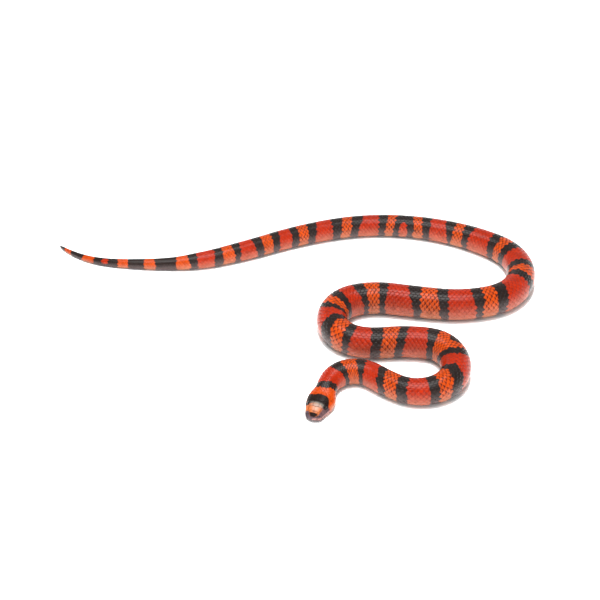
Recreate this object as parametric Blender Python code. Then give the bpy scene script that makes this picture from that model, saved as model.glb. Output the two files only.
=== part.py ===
"""Milk snake at life size, lying in loose curves on a level floor.

The spine is a chain of bends read off the floor, from the snout back. Rings of a
loaf-shaped section ride along it, and the skin is divided into the head, the neck,
lengths of the body and two lengths of the tail, which meet face to face.
+X runs along the snake's spread, +Y away from the viewer and +Z up from the floor.
"""
import math

import bmesh
import bpy
import numpy as np
from mathutils import Matrix, Vector

MM = 0.001
GAP = 0.3

# The snout's tip on the floor and the heading from it back along the neck, in mm and degrees
SNOUT_AT = (17.15, -147.85)
HEADING_AT_SNOUT = 70.0

# Bends of the spine from the snout to the tail's tip: length in mm, turn to the left in degrees
BENDS = (
    (22, -3), (17, 10), (52, -120), (25, 9), (95, 161), (18, 41), (39, 20),
    (22, -19), (83, -150), (34, -30), (43, 2), (51, 28), (109, 120), (37, 13), (133, 43),
    (68, 12), (52, -6), (51, -20), (58, -10), (67, -43),
)
BEND_BLEND = 22.0
SPINE_STEP = 0.5
TOTAL_LENGTH = float(sum(length for length, _ in BENDS))

# Half widths of the body in mm, by distance from the snout
GIRTH = (
    (34, 9.2), (44, 9.8), (54, 10.7), (66, 11.1), (116, 11.3), (176, 13.1), (221, 14.0),
    (286, 13.8), (376, 14.7), (506, 14.0), (576, 13.2), (696, 11.0), (796, 10.3), (876, 9.5),
    (921, 8.2), (951, 6.3), (991, 4.8), (1041, 3.2), (1064, 2.1), (1076, 1.0),
)
BODY_HEIGHT = 1.90
BODY_WIDEST = 0.88
BELLY_SINK = 0.06

# The head in mm: distance from the snout, half width, height, level of the widest point
HEAD_STATIONS = (
    (0.0, 6.6, 7.6, 3.6), (3.0, 7.3, 9.0, 3.8), (7.0, 8.4, 10.6, 4.0),
    (11.5, 9.9, 11.9, 4.4), (16.0, 11.4, 12.8, 4.8), (21.0, 12.3, 13.6, 5.4),
    (26.0, 12.1, 14.5, 6.3), (31.0, 10.8, 15.7, 7.3), (36.0, 9.5, 16.9, 8.0),
    (44.0, 9.5, 18.0, 8.4),
)
HEAD_FADE = (27.0, 44.0)
SNOUT_LEVEL = 4.6
SNOUT_PLAN = 5.0
SNOUT_TOP = 4.6

# The underside of the snout in mm: the rostral's lip, the notch and the chin behind it
CHIN = ((0.0, 4.6), (0.2, 3.5), (0.6, 2.95), (1.1, 2.7), (1.35, 1.7), (1.9, 0.75), (2.8, 0.2), (4.2, 0.0))

# The line of the mouth in mm: distance from the snout, level
MOUTH_LINE = ((1.0, 2.9), (4.0, 2.7), (9.7, 2.8), (15.1, 3.0), (19.4, 3.6), (23.2, 4.6), (31.0, 5.6))
MOUTH_CORNER = 22.6
MOUTH_DEPTH = 0.45
MOUTH_HALF_WIDTH = 0.38
LIP_SWELL = 0.16

# Eyes in mm: distance from the snout, level, how far the ball stands out, half axes
EYE_ALONG = 12.6
EYE_LEVEL = 9.6
EYE_PROUD = 0.8
EYE_BALL = (2.05, 2.05, 1.45)
EYE_LOOKS_FORWARD = 12.0
EYE_LOOKS_UP = 18.0
BROW_SWELL = 0.45

# Nostrils in mm: distance from the snout, level, radius, depth
NOSTRIL_ALONG = 2.9
NOSTRIL_LEVEL = 6.3
NOSTRIL_RADIUS = 0.5
NOSTRIL_DEPTH = 0.9

# The shields on top of the head, left of the middle: corners as distance from the snout and from the middle
SHIELDS_ON_TOP = {
    "internasal": ((2.5, 0.0), (4.6, 0.0), (4.9, 2.6), (4.2, 4.2), (2.5, 2.4)),
    "prefrontal": ((4.6, 0.0), (8.6, 0.0), (9.2, 2.7), (9.4, 5.1), (6.9, 5.4), (4.4, 4.4), (4.9, 2.6)),
    "supraocular": ((9.4, 2.7), (9.4, 5.1), (10.8, 6.9), (14.5, 7.0), (15.4, 5.4), (14.8, 2.6)),
    "parietal": ((16.1, 0.0), (15.0, 2.5), (15.8, 5.5), (18.4, 6.0), (22.0, 5.6), (25.3, 2.8), (24.8, 0.0)),
}
FRONTAL = ((8.6, 0.0), (9.3, 2.6), (14.7, 2.4), (16.0, 0.0), (14.7, -2.4), (9.3, -2.6))
ROSTRAL_REACH = ((0, 2.1), (45, 2.0), (65, 1.5), (85, 0.95), (110, 0.8), (180, 0.5))

# Shields of the cheek and lips: where they meet along the head, and how high the lip's reach
UPPER_LABIALS = (1.4, 4.4, 7.6, 10.7, 13.9, 17.2, 20.7, 24.6)
LOWER_LABIALS = (2.6, 5.0, 7.3, 9.9, 12.7, 15.8, 19.0, 22.2)
LIP_HEIGHT = ((2.0, 1.9), (5.0, 2.5), (9.0, 3.2), (12.6, 3.7), (17.0, 3.8), (24.0, 3.8))
LOWER_LIP_HEIGHT = 1.5
TOP_EDGE = ((2.2, 2.8), (4.3, 4.3), (6.9, 5.4), (9.4, 5.2), (10.8, 6.9), (14.5, 7.0), (15.4, 5.5),
            (18.4, 6.0), (22.0, 5.6), (27.0, 5.0))
CHEEK_SHIELDS = (
    (2.2, 5.6, 0.0, 1.0), (5.6, 8.6, 0.1, 1.0), (8.6, 10.0, 0.1, 1.0), (15.1, 17.1, 0.0, 0.5),
    (15.1, 17.1, 0.5, 1.0), (17.1, 21.0, 0.0, 0.5), (17.1, 20.5, 0.5, 1.0),
    (21.0, 24.8, 0.0, 0.36), (21.0, 24.8, 0.36, 0.68), (20.5, 24.8, 0.68, 1.0),
)
SHIELD_RAISE = 0.16
SHIELD_SINK = 0.5
SHIELD_SEAM = 0.14
SHIELD_EDGE = 1.7

# Where the skin is divided, in mm from the snout
HEAD_END = 32.0
NECK_END = 74.0
BODY_ENDS = (
    112, 152, 192, 238, 294, 334, 374, 446, 511, 566, 621, 666, 711, 764, 816, 874, 931,
)
TAIL_BASE_END = 1001.0

# Faceting: points round the body, longest ring step in mm, most turn between two rings
BODY_SIDES = 16
LONGEST_STEP = 8.5
TURN_PER_RING = math.radians(9.5)
HEAD_ABOVE_MOUTH = 11
HEAD_BELOW_MOUTH = 6
HEAD_STEP = 1.25


def clear_scene():
    """Remove whatever the file holds."""
    for obj in list(bpy.data.objects):
        bpy.data.objects.remove(obj, do_unlink=True)


def through(points):
    """A smooth curve through (x, y) points that never overshoots them."""
    xs, ys = np.array(points, float).T
    slope = np.diff(ys) / np.diff(xs)
    lean = np.zeros(len(xs))
    both = slope[:-1] * slope[1:] > 0
    mean = 2 * slope[:-1] * slope[1:] / np.where(both, slope[:-1] + slope[1:], 1.0)
    lean[1:-1] = np.where(both, mean, 0.0)
    lean[0], lean[-1] = slope[0], slope[-1]

    def value(x):
        x = np.clip(x, xs[0], xs[-1])
        i = np.clip(np.searchsorted(xs, x, side="right") - 1, 0, len(xs) - 2)
        h = xs[i + 1] - xs[i]
        t = (x - xs[i]) / h
        rise = (3 - 2 * t) * t * t
        bow = t * (1 - t) * ((1 - t) * lean[i] - t * lean[i + 1]) * h
        return ys[i] + (ys[i + 1] - ys[i]) * rise + bow

    return value


def fade(x, low, high):
    """0 below low, 1 above high and smooth between."""
    t = np.clip((x - low) / (high - low), 0.0, 1.0)
    return t * t * (3 - 2 * t)


class Spine:
    """The run of the snake on the floor, as a curve by length from the snout in mm."""

    def __init__(self):
        middles = np.arange(0.5 * SPINE_STEP, TOTAL_LENGTH, SPINE_STEP)
        ends = np.cumsum([length for length, _ in BENDS])
        each = np.searchsorted(ends, middles, side="right")
        bend = np.radians([turn / length for length, turn in BENDS])[each]
        reach = int(BEND_BLEND / SPINE_STEP)
        window = np.hanning(reach + 2)[1:-1]
        padded = np.pad(bend, reach, mode="edge")
        self.bend = np.convolve(padded, window / window.sum(), "same")[reach:-reach]
        turned = np.concatenate(([0.0], np.cumsum(self.bend * SPINE_STEP)))
        self.heading = math.radians(HEADING_AT_SNOUT) + turned
        middle = 0.5 * (self.heading[1:] + self.heading[:-1])
        run_x = np.concatenate(([0.0], np.cumsum(np.cos(middle) * SPINE_STEP)))
        run_y = np.concatenate(([0.0], np.cumsum(np.sin(middle) * SPINE_STEP)))
        self.x, self.y = SNOUT_AT[0] + run_x, SNOUT_AT[1] + run_y
        self.s = np.arange(len(self.x)) * SPINE_STEP

    def place(self, s, left, up):
        """The point at a length s, this far left of the spine and above the floor, in metres."""
        heading = np.interp(s, self.s, self.heading)
        x = np.interp(s, self.s, self.x) - left * math.sin(heading)
        y = np.interp(s, self.s, self.y) + left * math.cos(heading)
        return Vector((x, y, up)) * MM

    def axes(self, s):
        """Unit vectors at a length s: back along the snake, to its left in plan, and up."""
        heading = np.interp(s, self.s, self.heading)
        along = Vector((math.cos(heading), math.sin(heading), 0.0))
        left = Vector((-math.sin(heading), math.cos(heading), 0.0))
        return along, left, Vector((0.0, 0.0, 1.0))

    def stops(self, start, end):
        """Lengths for rings from start to end, closer together where the spine bends."""
        s = np.arange(start, end, 0.25)
        bend = np.abs(np.interp(s, self.s[:-1], self.bend))
        need = np.concatenate(([0.0], np.cumsum(0.25 * (1 / LONGEST_STEP + bend / TURN_PER_RING))))
        count = max(2, int(math.ceil(need[-1])) + 1)
        places = np.concatenate((s, [end]))
        return np.interp(np.linspace(0, need[-1], count), need, places)


SPINE = Spine()
girth = through(GIRTH)
head_half = through([(s, half) for s, half, _, _ in HEAD_STATIONS])
head_top = through([(s, top) for s, _, top, _ in HEAD_STATIONS])
head_widest = through([(s, level) for s, _, _, level in HEAD_STATIONS])
chin = through(CHIN)
mouth_level = through(MOUTH_LINE)
lip_height = through(LIP_HEIGHT)
top_edge = through(TOP_EDGE)
rostral_reach = through(ROSTRAL_REACH)


def rounded(s, reach):
    """How far a nose of this reach has opened at s, along a quarter ellipse."""
    t = np.clip(1.0 - s / reach, 0.0, 1.0)
    return math.sqrt(max(1.0 - t * t, 0.0))


def section(s):
    """Half width, low edge, widest level, top and the two squarenesses of the skin at s, in mm."""
    body = float(fade(s, *HEAD_FADE))
    wide = (1 - body) * head_half(s) + body * girth(s)
    top = (1 - body) * head_top(s) + body * BODY_HEIGHT * girth(s)
    widest = (1 - body) * head_widest(s) + body * BODY_WIDEST * girth(s)
    wide *= rounded(s, SNOUT_PLAN)
    opened = rounded(s, SNOUT_TOP)
    top = SNOUT_LEVEL + (top - SNOUT_LEVEL) * opened
    widest = SNOUT_LEVEL + (widest - SNOUT_LEVEL) * opened
    low = chin(s)
    sink = BELLY_SINK * wide * float(fade(s, 3.0, 8.0))
    return wide, low, max(widest, low + 0.01), top, sink, 2.15 - 0.1 * body, 2.7 - 0.2 * body


def outline(s, angle):
    """A point of the section at s: distance left and level. The angle runs from the top."""
    wide, low, widest, top, sink, square_up, square_down = section(s)
    across, upward = math.sin(angle), math.cos(angle)
    upper = upward >= 0
    power = 2.0 / (square_up if upper else square_down)
    left = wide * math.copysign(abs(across) ** power, across)
    if upper:
        return left, widest + (top - widest) * upward ** power
    return left, max(low, widest - (widest - low + sink) * (-upward) ** power)


def angle_at_level(s, level):
    """The angle from the top at which the section's side passes a level below its widest."""
    _, low, widest, _, sink, _, square_down = section(s)
    share = min(max((widest - level) / (widest - low + sink), 0.0), 0.9)
    return math.pi - math.acos(share ** (square_down / 2.0))


def angle_above(s, level):
    """The angle from the top at which the section's side passes a level above its widest."""
    _, _, widest, top, _, square_up, _ = section(s)
    share = min(max((level - widest) / (top - widest), 0.0), 0.99)
    return math.acos(share ** (square_up / 2.0))


def angle_at_side(s, level):
    """The angle from the top at which the section's side passes any level."""
    return angle_above(s, level) if level > section(s)[2] else angle_at_level(s, level)


def angle_across(s, left):
    """The angle from the top at which the section lies this far left of the middle."""
    wide, square_up = section(s)[0], section(s)[5]
    share = min(abs(left) / wide, 0.97)
    return math.copysign(math.asin(share ** (square_up / 2.0)), left)


def ring_angles(sides):
    """Evenly spread angles round the section, with one face flat on the floor."""
    return [math.pi * (2 * i + 1) / sides - math.pi for i in range(sides)]


def material(name, colour, roughness):
    """A glossy skin or eye material."""
    made = bpy.data.materials.new(name)
    made.use_nodes = True
    shader = made.node_tree.nodes["Principled BSDF"]
    shader.inputs["Base Color"].default_value = (*colour, 1.0)
    shader.inputs["Roughness"].default_value = roughness
    shader.inputs["Metallic"].default_value = 0.0
    return made


def add_object(name, bm, finish):
    """Turn a bmesh into a named object with smooth round faces and one material."""
    bmesh.ops.recalc_face_normals(bm, faces=bm.faces)
    mesh = bpy.data.meshes.new(name)
    bm.to_mesh(mesh)
    bm.free()
    obj = bpy.data.objects.new(name, mesh)
    bpy.context.scene.collection.objects.link(obj)
    mesh.materials.append(finish)
    mesh.shade_smooth()
    mesh.set_sharp_from_angle(angle=math.radians(50))
    return obj


def skin_rings(bm, rings, first_tip=None, last_tip=None):
    """Bridge rings of points into one closed skin, ended by tips or by flat caps."""
    made = [[bm.verts.new(point) for point in ring] for ring in rings]
    count = len(made[0])
    for ring, after in zip(made, made[1:]):
        for i in range(count):
            j = (i + 1) % count
            bm.faces.new((ring[i], ring[j], after[j], after[i]))
    for ring, tip in ((made[0], first_tip), (made[-1], last_tip)):
        if tip is None:
            bm.faces.new(ring)
            continue
        point = bm.verts.new(tip)
        for i in range(count):
            bm.faces.new((ring[i], ring[(i + 1) % count], point))
    bmesh.ops.triangulate(bm, faces=bm.faces)


def length_of_body(name, start, end, finish, tipped=False):
    """One length of the neck, body or tail between two cuts across the spine."""
    rings = []
    for s in SPINE.stops(start + GAP / 2, end - (0.0 if tipped else GAP / 2)):
        angles = ring_angles(BODY_SIDES)
        rings.append([SPINE.place(s, *outline(s, angle)) for angle in angles])
    tip = None
    if tipped:
        half = girth(end)
        tip = SPINE.place(end, 0.0, BODY_WIDEST * half) + SPINE.axes(end)[0] * half * MM
    bm = bmesh.new()
    skin_rings(bm, rings, last_tip=tip)
    return add_object(name, bm, finish)


def swell(s, left, level):
    """How far the head's skin stands out of its plain form: brow, lips and the mouth's groove."""
    brow = math.exp(-((s - EYE_ALONG) / 3.2) ** 2 - ((level - EYE_LEVEL - 2.1) / 1.0) ** 2)
    lip = math.exp(-((abs(level - mouth_level(s)) - 0.9) / 0.6) ** 2)
    lip *= float(fade(s, 1.0, 3.0) * (1 - fade(s, MOUTH_CORNER - 4, MOUTH_CORNER)))
    return BROW_SWELL * brow * float(abs(left) > 2.0) + LIP_SWELL * lip


def head_skin(s, angle, groove=0.0):
    """A point of the head's skin, with its brow and lips, sunk where a groove runs."""
    left, up = outline(s, angle)
    _, low, centre, _, _, _, _ = section(s)
    out = swell(s, left, up) if groove == 0 else -groove
    length = math.hypot(left, up - centre) + 1e-6
    left, up = left + out * left / length, up + out * (up - centre) / length
    return SPINE.place(s, left, max(up, 0.0 if up <= low else up))


def head_ring(s):
    """The points of the head's skin at s, one pair of which runs along the mouth's line."""
    _, low, widest, _, _, _, _ = section(s)
    mouth = angle_at_level(s, min(max(mouth_level(s), low + 0.02), widest - 0.02))
    step = MOUTH_HALF_WIDTH / max(widest - low, 1.5)
    above = np.linspace(0.0, mouth - step, HEAD_ABOVE_MOUTH)
    below = np.linspace(mouth + step, math.pi, HEAD_BELOW_MOUTH + 1)
    angles = np.concatenate((above, [mouth], below))
    groove = MOUTH_DEPTH * float(fade(s, 0.8, 2.0) * (1 - fade(s, MOUTH_CORNER - 2, MOUTH_CORNER)))
    half = [head_skin(s, float(a), groove if a == mouth else 0.0) for a in angles]
    other = [head_skin(s, -float(a), groove if a == mouth else 0.0) for a in angles[1:-1]]
    return half + other[::-1]


def raised(s, angle, out):
    """A point this far out from the head's skin along its normal, in mm."""
    near, far = max(s - 0.15, 0.02), s + 0.15
    along = head_skin(far, angle) - head_skin(near, angle)
    around = head_skin(s, angle + 0.03) - head_skin(s, angle - 0.03)
    return head_skin(s, angle) + around.cross(along).normalized() * out * MM


def plate(border, finish):
    """A closed plate over the head's skin inside a border of (s, angle) corners."""
    middle_s, middle_angle = np.mean(border, axis=0)
    arc = section(float(middle_s))[0]
    edge = []
    for (s0, a0), (s1, a1) in zip(border, border[1:] + border[:1]):
        steps = max(1, round(math.hypot(s1 - s0, (a1 - a0) * arc) / SHIELD_EDGE))
        edge += [(s0 + (s1 - s0) * t / steps, a0 + (a1 - a0) * t / steps) for t in range(steps)]
    rings = []
    for share, inset, out in ((1.0, 1.0, -SHIELD_SINK), (1.0, 1.0, 0.2 * SHIELD_RAISE),
                              (1.0, 2.4, SHIELD_RAISE), (0.45, 2.4, SHIELD_RAISE)):
        ring = []
        for s, angle in edge:
            ds, da = s - middle_s, (angle - middle_angle) * arc
            keep = share * max(1.0 - inset * SHIELD_SEAM / math.hypot(ds, da), 0.2)
            ring.append(raised(middle_s + ds * keep, middle_angle + da * keep / arc, out))
        rings.append(ring)
    inner = raised(middle_s, middle_angle, -SHIELD_SINK)
    outer = raised(middle_s, middle_angle, SHIELD_RAISE)
    bm = bmesh.new()
    skin_rings(bm, rings, first_tip=inner, last_tip=outer)
    return add_object("shield", bm, finish)


def rostral(finish):
    """The plate over the snout's tip, which reaches round it to the lip."""
    rings = []
    for share, out in ((0.9, -SHIELD_SINK), (1.0, 0.2 * SHIELD_RAISE), (0.8, SHIELD_RAISE), (0.3, SHIELD_RAISE)):
        rings.append([raised(share * rostral_reach(abs(math.degrees(a))), a, out) for a in ring_angles(20)])
    tip = SPINE.place(0.0, 0.0, SNOUT_LEVEL)
    along = SPINE.axes(0.0)[0] * MM
    bm = bmesh.new()
    skin_rings(bm, rings, first_tip=tip + along * SHIELD_SINK, last_tip=tip - along * SHIELD_RAISE)
    return add_object("shield", bm, finish)


def shield_borders():
    """Borders of all the head's plates but the rostral, as (s, angle) corners."""
    borders = [[(s, angle_across(s, x)) for s, x in FRONTAL]]
    for side in (1, -1):
        for corners in SHIELDS_ON_TOP.values():
            borders.append([(s, side * angle_across(s, x)) for s, x in corners])
        for start, end, high, low in CHEEK_SHIELDS:
            corners = []
            for s, share in ((start, high), (end, high), (end, low), (start, low)):
                top = angle_across(s, top_edge(s))
                lip = angle_at_side(s, mouth_level(s) + lip_height(s))
                corners.append((s, side * (top + (lip - top) * share)))
            borders.append(corners)
        for start, end in zip(UPPER_LABIALS, UPPER_LABIALS[1:]):
            high = [(s, side * angle_at_side(s, mouth_level(s) + lip_height(s))) for s in (start, end)]
            low = [(s, side * angle_at_side(s, mouth_level(s) + MOUTH_HALF_WIDTH)) for s in (end, start)]
            borders.append(high + low)
        for start, end in zip(LOWER_LABIALS, LOWER_LABIALS[1:]):
            high = [(s, side * angle_at_side(s, mouth_level(s) - MOUTH_HALF_WIDTH)) for s in (start, end)]
            low = [(s, side * angle_at_side(s, mouth_level(s) - LOWER_LIP_HEIGHT)) for s in (end, start)]
            borders.append(high + low)
    return borders


def ellipsoid(name, half_axes, matrix, finish):
    """A ball stretched to three half axes, in mm, and set by a matrix in metres."""
    bm = bmesh.new()
    bmesh.ops.create_uvsphere(bm, u_segments=20, v_segments=12, radius=MM)
    bmesh.ops.scale(bm, vec=half_axes, verts=bm.verts)
    bmesh.ops.transform(bm, matrix=matrix, verts=bm.verts)
    bmesh.ops.triangulate(bm, faces=bm.faces)
    return add_object(name, bm, finish)


def surface_left(s, level):
    """How far left of the spine the head's side lies at a level above its widest point."""
    wide, _, widest, top, _, square_up, _ = section(s)
    share = (level - widest) / (top - widest)
    return wide * (1 - share ** square_up) ** (1 / square_up)


def eye_matrix(side):
    """Sets an eye's ball with its own +Z looking out, a little forward and up."""
    along, left, up = SPINE.axes(EYE_ALONG)
    forward, lift = math.radians(EYE_LOOKS_FORWARD), math.radians(EYE_LOOKS_UP)
    out = left * side * math.cos(forward) * math.cos(lift) - along * math.sin(forward) + up * math.sin(lift)
    out.normalize()
    wide = surface_left(EYE_ALONG, EYE_LEVEL)
    front = SPINE.place(EYE_ALONG, side * (wide + EYE_PROUD), EYE_LEVEL)
    centre = front - out * EYE_BALL[2] * MM
    across = up.cross(out).normalized()
    turn = Matrix((across, out.cross(across), out)).transposed().to_4x4()
    return Matrix.Translation(centre) @ turn


def combine(obj, pieces, operation, solver="EXACT"):
    """Join closed pieces to an object or cut them out of it, apply that and remove the pieces."""
    group = bpy.data.collections.new(operation)
    bpy.context.scene.collection.children.link(group)
    for piece in pieces:
        group.objects.link(piece)
    modifier = obj.modifiers.new(operation, "BOOLEAN")
    modifier.operation = operation
    modifier.solver = solver
    modifier.operand_type = "COLLECTION"
    modifier.collection = group
    bpy.context.view_layer.update()
    evaluated = obj.evaluated_get(bpy.context.evaluated_depsgraph_get())
    mesh = bpy.data.meshes.new_from_object(evaluated)
    obj.modifiers.clear()
    obj.data = mesh
    for piece in pieces:
        bpy.data.objects.remove(piece, do_unlink=True)
    bpy.data.collections.remove(group)
    keep_largest(obj)


def keep_largest(obj):
    """Drop all but the largest closed surface of an object, and triangulate it."""
    bm = bmesh.new()
    bm.from_mesh(obj.data)
    bmesh.ops.triangulate(bm, faces=bm.faces)
    left = set(bm.verts)
    shells = []
    while left:
        shell, edge = set(), [left.pop()]
        while edge:
            vertex = edge.pop()
            shell.add(vertex)
            for link in vertex.link_edges:
                other = link.other_vert(vertex)
                if other in left:
                    left.remove(other)
                    edge.append(other)
        shells.append(shell)
    largest = max(shells, key=lambda shell: sum(face.calc_area() for v in shell for face in v.link_faces))
    bmesh.ops.delete(bm, geom=[v for shell in shells if shell is not largest for v in shell], context="VERTS")
    bm.to_mesh(obj.data)
    bm.free()


def nostril(side, finish):
    """The cutter for one nostril: a short slanted pit behind the snout's tip."""
    along, left, up = SPINE.axes(NOSTRIL_ALONG)
    out = (left * side - along * 0.55 + up * 0.25).normalized()
    wide = surface_left(NOSTRIL_ALONG, NOSTRIL_LEVEL)
    mouth = SPINE.place(NOSTRIL_ALONG, side * wide, NOSTRIL_LEVEL)
    bm = bmesh.new()
    bmesh.ops.create_cone(
        bm, cap_ends=True, segments=10, radius1=0.7 * NOSTRIL_RADIUS * MM,
        radius2=NOSTRIL_RADIUS * MM, depth=2 * NOSTRIL_DEPTH * MM,
    )
    turn = out.to_track_quat("Z", "Y").to_matrix().to_4x4()
    bmesh.ops.transform(bm, matrix=Matrix.Translation(mouth) @ turn, verts=bm.verts)
    return add_object("nostril_cutter", bm, finish)


def build_head(skin, eye_finish):
    """The head with its mouth, nostrils and eye sockets, and the two eyes in them."""
    nose = [0.12, 0.45, 0.9, 1.35, 1.7, 2.2, 2.8, 3.5, 4.4]
    count = int((HEAD_END - GAP / 2 - nose[-1]) / HEAD_STEP)
    rest = np.linspace(nose[-1], HEAD_END - GAP / 2, count + 1)[1:]
    bm = bmesh.new()
    tip = SPINE.place(0.0, 0.0, SNOUT_LEVEL)
    skin_rings(bm, [head_ring(s) for s in nose + list(rest)], first_tip=tip)
    head = add_object("head", bm, skin)
    plates = [plate(border, skin) for border in shield_borders()] + [rostral(skin)]
    combine(head, plates, "UNION")
    cutters = []
    for side in (1, -1):
        name = "eye_left" if side < 0 else "eye_right"
        ellipsoid(name, EYE_BALL, eye_matrix(side), eye_finish)
        socket = [half + GAP for half in EYE_BALL]
        cutters.append(ellipsoid("socket", socket, eye_matrix(side), skin))
        cutters.append(nostril(side, skin))
    combine(head, cutters, "DIFFERENCE")
    head.data.shade_smooth()
    head.data.set_sharp_from_angle(angle=math.radians(50))


def main():
    """Build the whole snake."""
    clear_scene()
    red = material("scarlet_skin", (0.62, 0.055, 0.018), 0.32)
    orange = material("orange_skin", (0.86, 0.17, 0.022), 0.32)
    black = material("black_skin", (0.022, 0.02, 0.02), 0.3)
    eye = material("dark_eye", (0.012, 0.010, 0.010), 0.06)
    build_head(orange, eye)
    length_of_body("neck", HEAD_END, NECK_END, red)
    start = NECK_END
    for number, end in enumerate(BODY_ENDS, 1):
        length_of_body(f"body_{number:02d}", start, end, red)
        start = end
    length_of_body("tail_base", start, TAIL_BASE_END, orange)
    length_of_body("tail_tip", TAIL_BASE_END, TOTAL_LENGTH - 0.6, black, tipped=True)


main()
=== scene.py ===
"""Looks of the milk snake: skin, scales, head shields, eyes and the studio around it.

Lengths are in millimetres, measured from the snout back along the spine, until a
point is placed in the scene. A turn is a share of the way round the body: 0 along
the back, 1 along the belly, positive on the side that lies left of the spine's run
from snout to tail, which is the animal's own right.
"""
from __future__ import annotations

import logging
import math
from dataclasses import dataclass
from enum import Enum
from typing import Callable, Sequence

import bmesh
import bpy
import numpy as np
from mathutils import Matrix, Vector

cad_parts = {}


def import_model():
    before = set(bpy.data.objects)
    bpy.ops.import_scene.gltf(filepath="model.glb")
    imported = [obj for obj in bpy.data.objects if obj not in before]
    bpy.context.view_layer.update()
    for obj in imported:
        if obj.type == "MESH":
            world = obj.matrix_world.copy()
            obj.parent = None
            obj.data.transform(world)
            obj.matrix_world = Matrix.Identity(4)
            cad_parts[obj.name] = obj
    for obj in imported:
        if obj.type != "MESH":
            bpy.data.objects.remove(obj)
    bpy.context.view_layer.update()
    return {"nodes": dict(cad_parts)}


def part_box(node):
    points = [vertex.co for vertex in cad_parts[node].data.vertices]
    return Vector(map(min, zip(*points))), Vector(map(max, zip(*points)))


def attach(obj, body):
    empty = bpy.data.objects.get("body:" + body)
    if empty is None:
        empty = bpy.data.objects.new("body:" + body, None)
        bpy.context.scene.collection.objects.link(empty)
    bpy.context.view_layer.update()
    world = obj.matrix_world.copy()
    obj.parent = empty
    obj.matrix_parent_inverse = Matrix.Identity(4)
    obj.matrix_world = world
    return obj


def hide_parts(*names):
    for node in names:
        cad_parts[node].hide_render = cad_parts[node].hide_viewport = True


MM = 0.001
BODY = "root"
COLOUR = "skin_colour"
BAKE_MAP = "OFBake"
FLOOR_GAP = 0.02
LOG = logging.getLogger("milk_snake")
Curve = Callable[[np.ndarray], np.ndarray]
Pairs = tuple[tuple[float, float], ...]
Triple = tuple[float, float, float]


def through(points: Sequence[tuple[float, float]]) -> Curve:
    """A smooth curve through points that never overshoots them.

    Args:
        points: pairs of a place and its value, in rising places.

    Returns:
        A function from places to values, level beyond both ends.
    """
    xs, ys = np.array(points, float).T
    slope = np.diff(ys) / np.diff(xs)
    lean = np.zeros(len(xs))
    both = slope[:-1] * slope[1:] > 0
    mean = 2 * slope[:-1] * slope[1:] / np.where(both, slope[:-1] + slope[1:], 1.0)
    lean[1:-1] = np.where(both, mean, 0.0)
    lean[0], lean[-1] = slope[0], slope[-1]

    def value(x: np.ndarray) -> np.ndarray:
        """The curve's value at each place.

        Args:
            x: the places.

        Returns:
            Their values.
        """
        x = np.clip(x, xs[0], xs[-1])
        i = np.clip(np.searchsorted(xs, x, side="right") - 1, 0, len(xs) - 2)
        width = xs[i + 1] - xs[i]
        t = (x - xs[i]) / width
        rise = (3 - 2 * t) * t * t
        bow = t * (1 - t) * ((1 - t) * lean[i] - t * lean[i + 1]) * width
        return ys[i] + (ys[i + 1] - ys[i]) * rise + bow

    return value


def fade(x: np.ndarray, low: float, high: float) -> np.ndarray:
    """0 at low, 1 at high and smooth between, whichever of the two is the greater."""
    t = np.clip((x - low) / (high - low), 0.0, 1.0)
    return t * t * (3 - 2 * t)


def mixed(a: np.ndarray, b: np.ndarray, share: np.ndarray) -> np.ndarray:
    """Colours a and b mixed, all b where the share is 1."""
    share = np.asarray(share)[..., None]
    return a * (1 - share) + b * share


def wrapped(turn: np.ndarray) -> np.ndarray:
    """Turns brought back to between -1 and 1, so that one past the belly is on the other side."""
    return (turn + 1.0) % 2.0 - 1.0


def grid_of(rows: int, columns: int) -> tuple[np.ndarray, np.ndarray]:
    """The row and the column of every cell of a grid, row by row."""
    i, j = np.meshgrid(np.arange(rows), np.arange(columns), indexing="ij")
    return i.ravel(), j.ravel()


def ring_quads(rings: int, around: int, closed: bool = False) -> np.ndarray:
    """The faces between rings of points that follow one another.

    Args:
        rings: how many rings there are.
        around: how many points each ring has.
        closed: whether the last ring joins the first.

    Returns:
        Four corners for each face.
    """
    i, j = grid_of(rings if closed else rings - 1, around)
    after, below = (j + 1) % around, (i + 1) % rings
    corners = (i * around + j, i * around + after, below * around + after, below * around + j)
    return np.stack(corners, axis=1)


def ring_fan(first: int, around: int, point: int) -> np.ndarray:
    """Triangles from every side of a closed ring to one point.

    Args:
        first: the ring's first point.
        around: how many points the ring has.
        point: the point where the triangles meet.

    Returns:
        Three corners for each triangle.
    """
    ring = np.arange(around)
    return np.stack((first + ring, first + (ring + 1) % around, np.full(around, point)), axis=1)


def faces_outwards(made: bpy.types.Object) -> None:
    """Turn all faces of a closed piece outwards.

    Args:
        made: the piece.
    """
    mesh = bmesh.new()
    mesh.from_mesh(made.data)
    bmesh.ops.recalc_face_normals(mesh, faces=mesh.faces)
    mesh.to_mesh(made.data)
    mesh.free()


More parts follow.
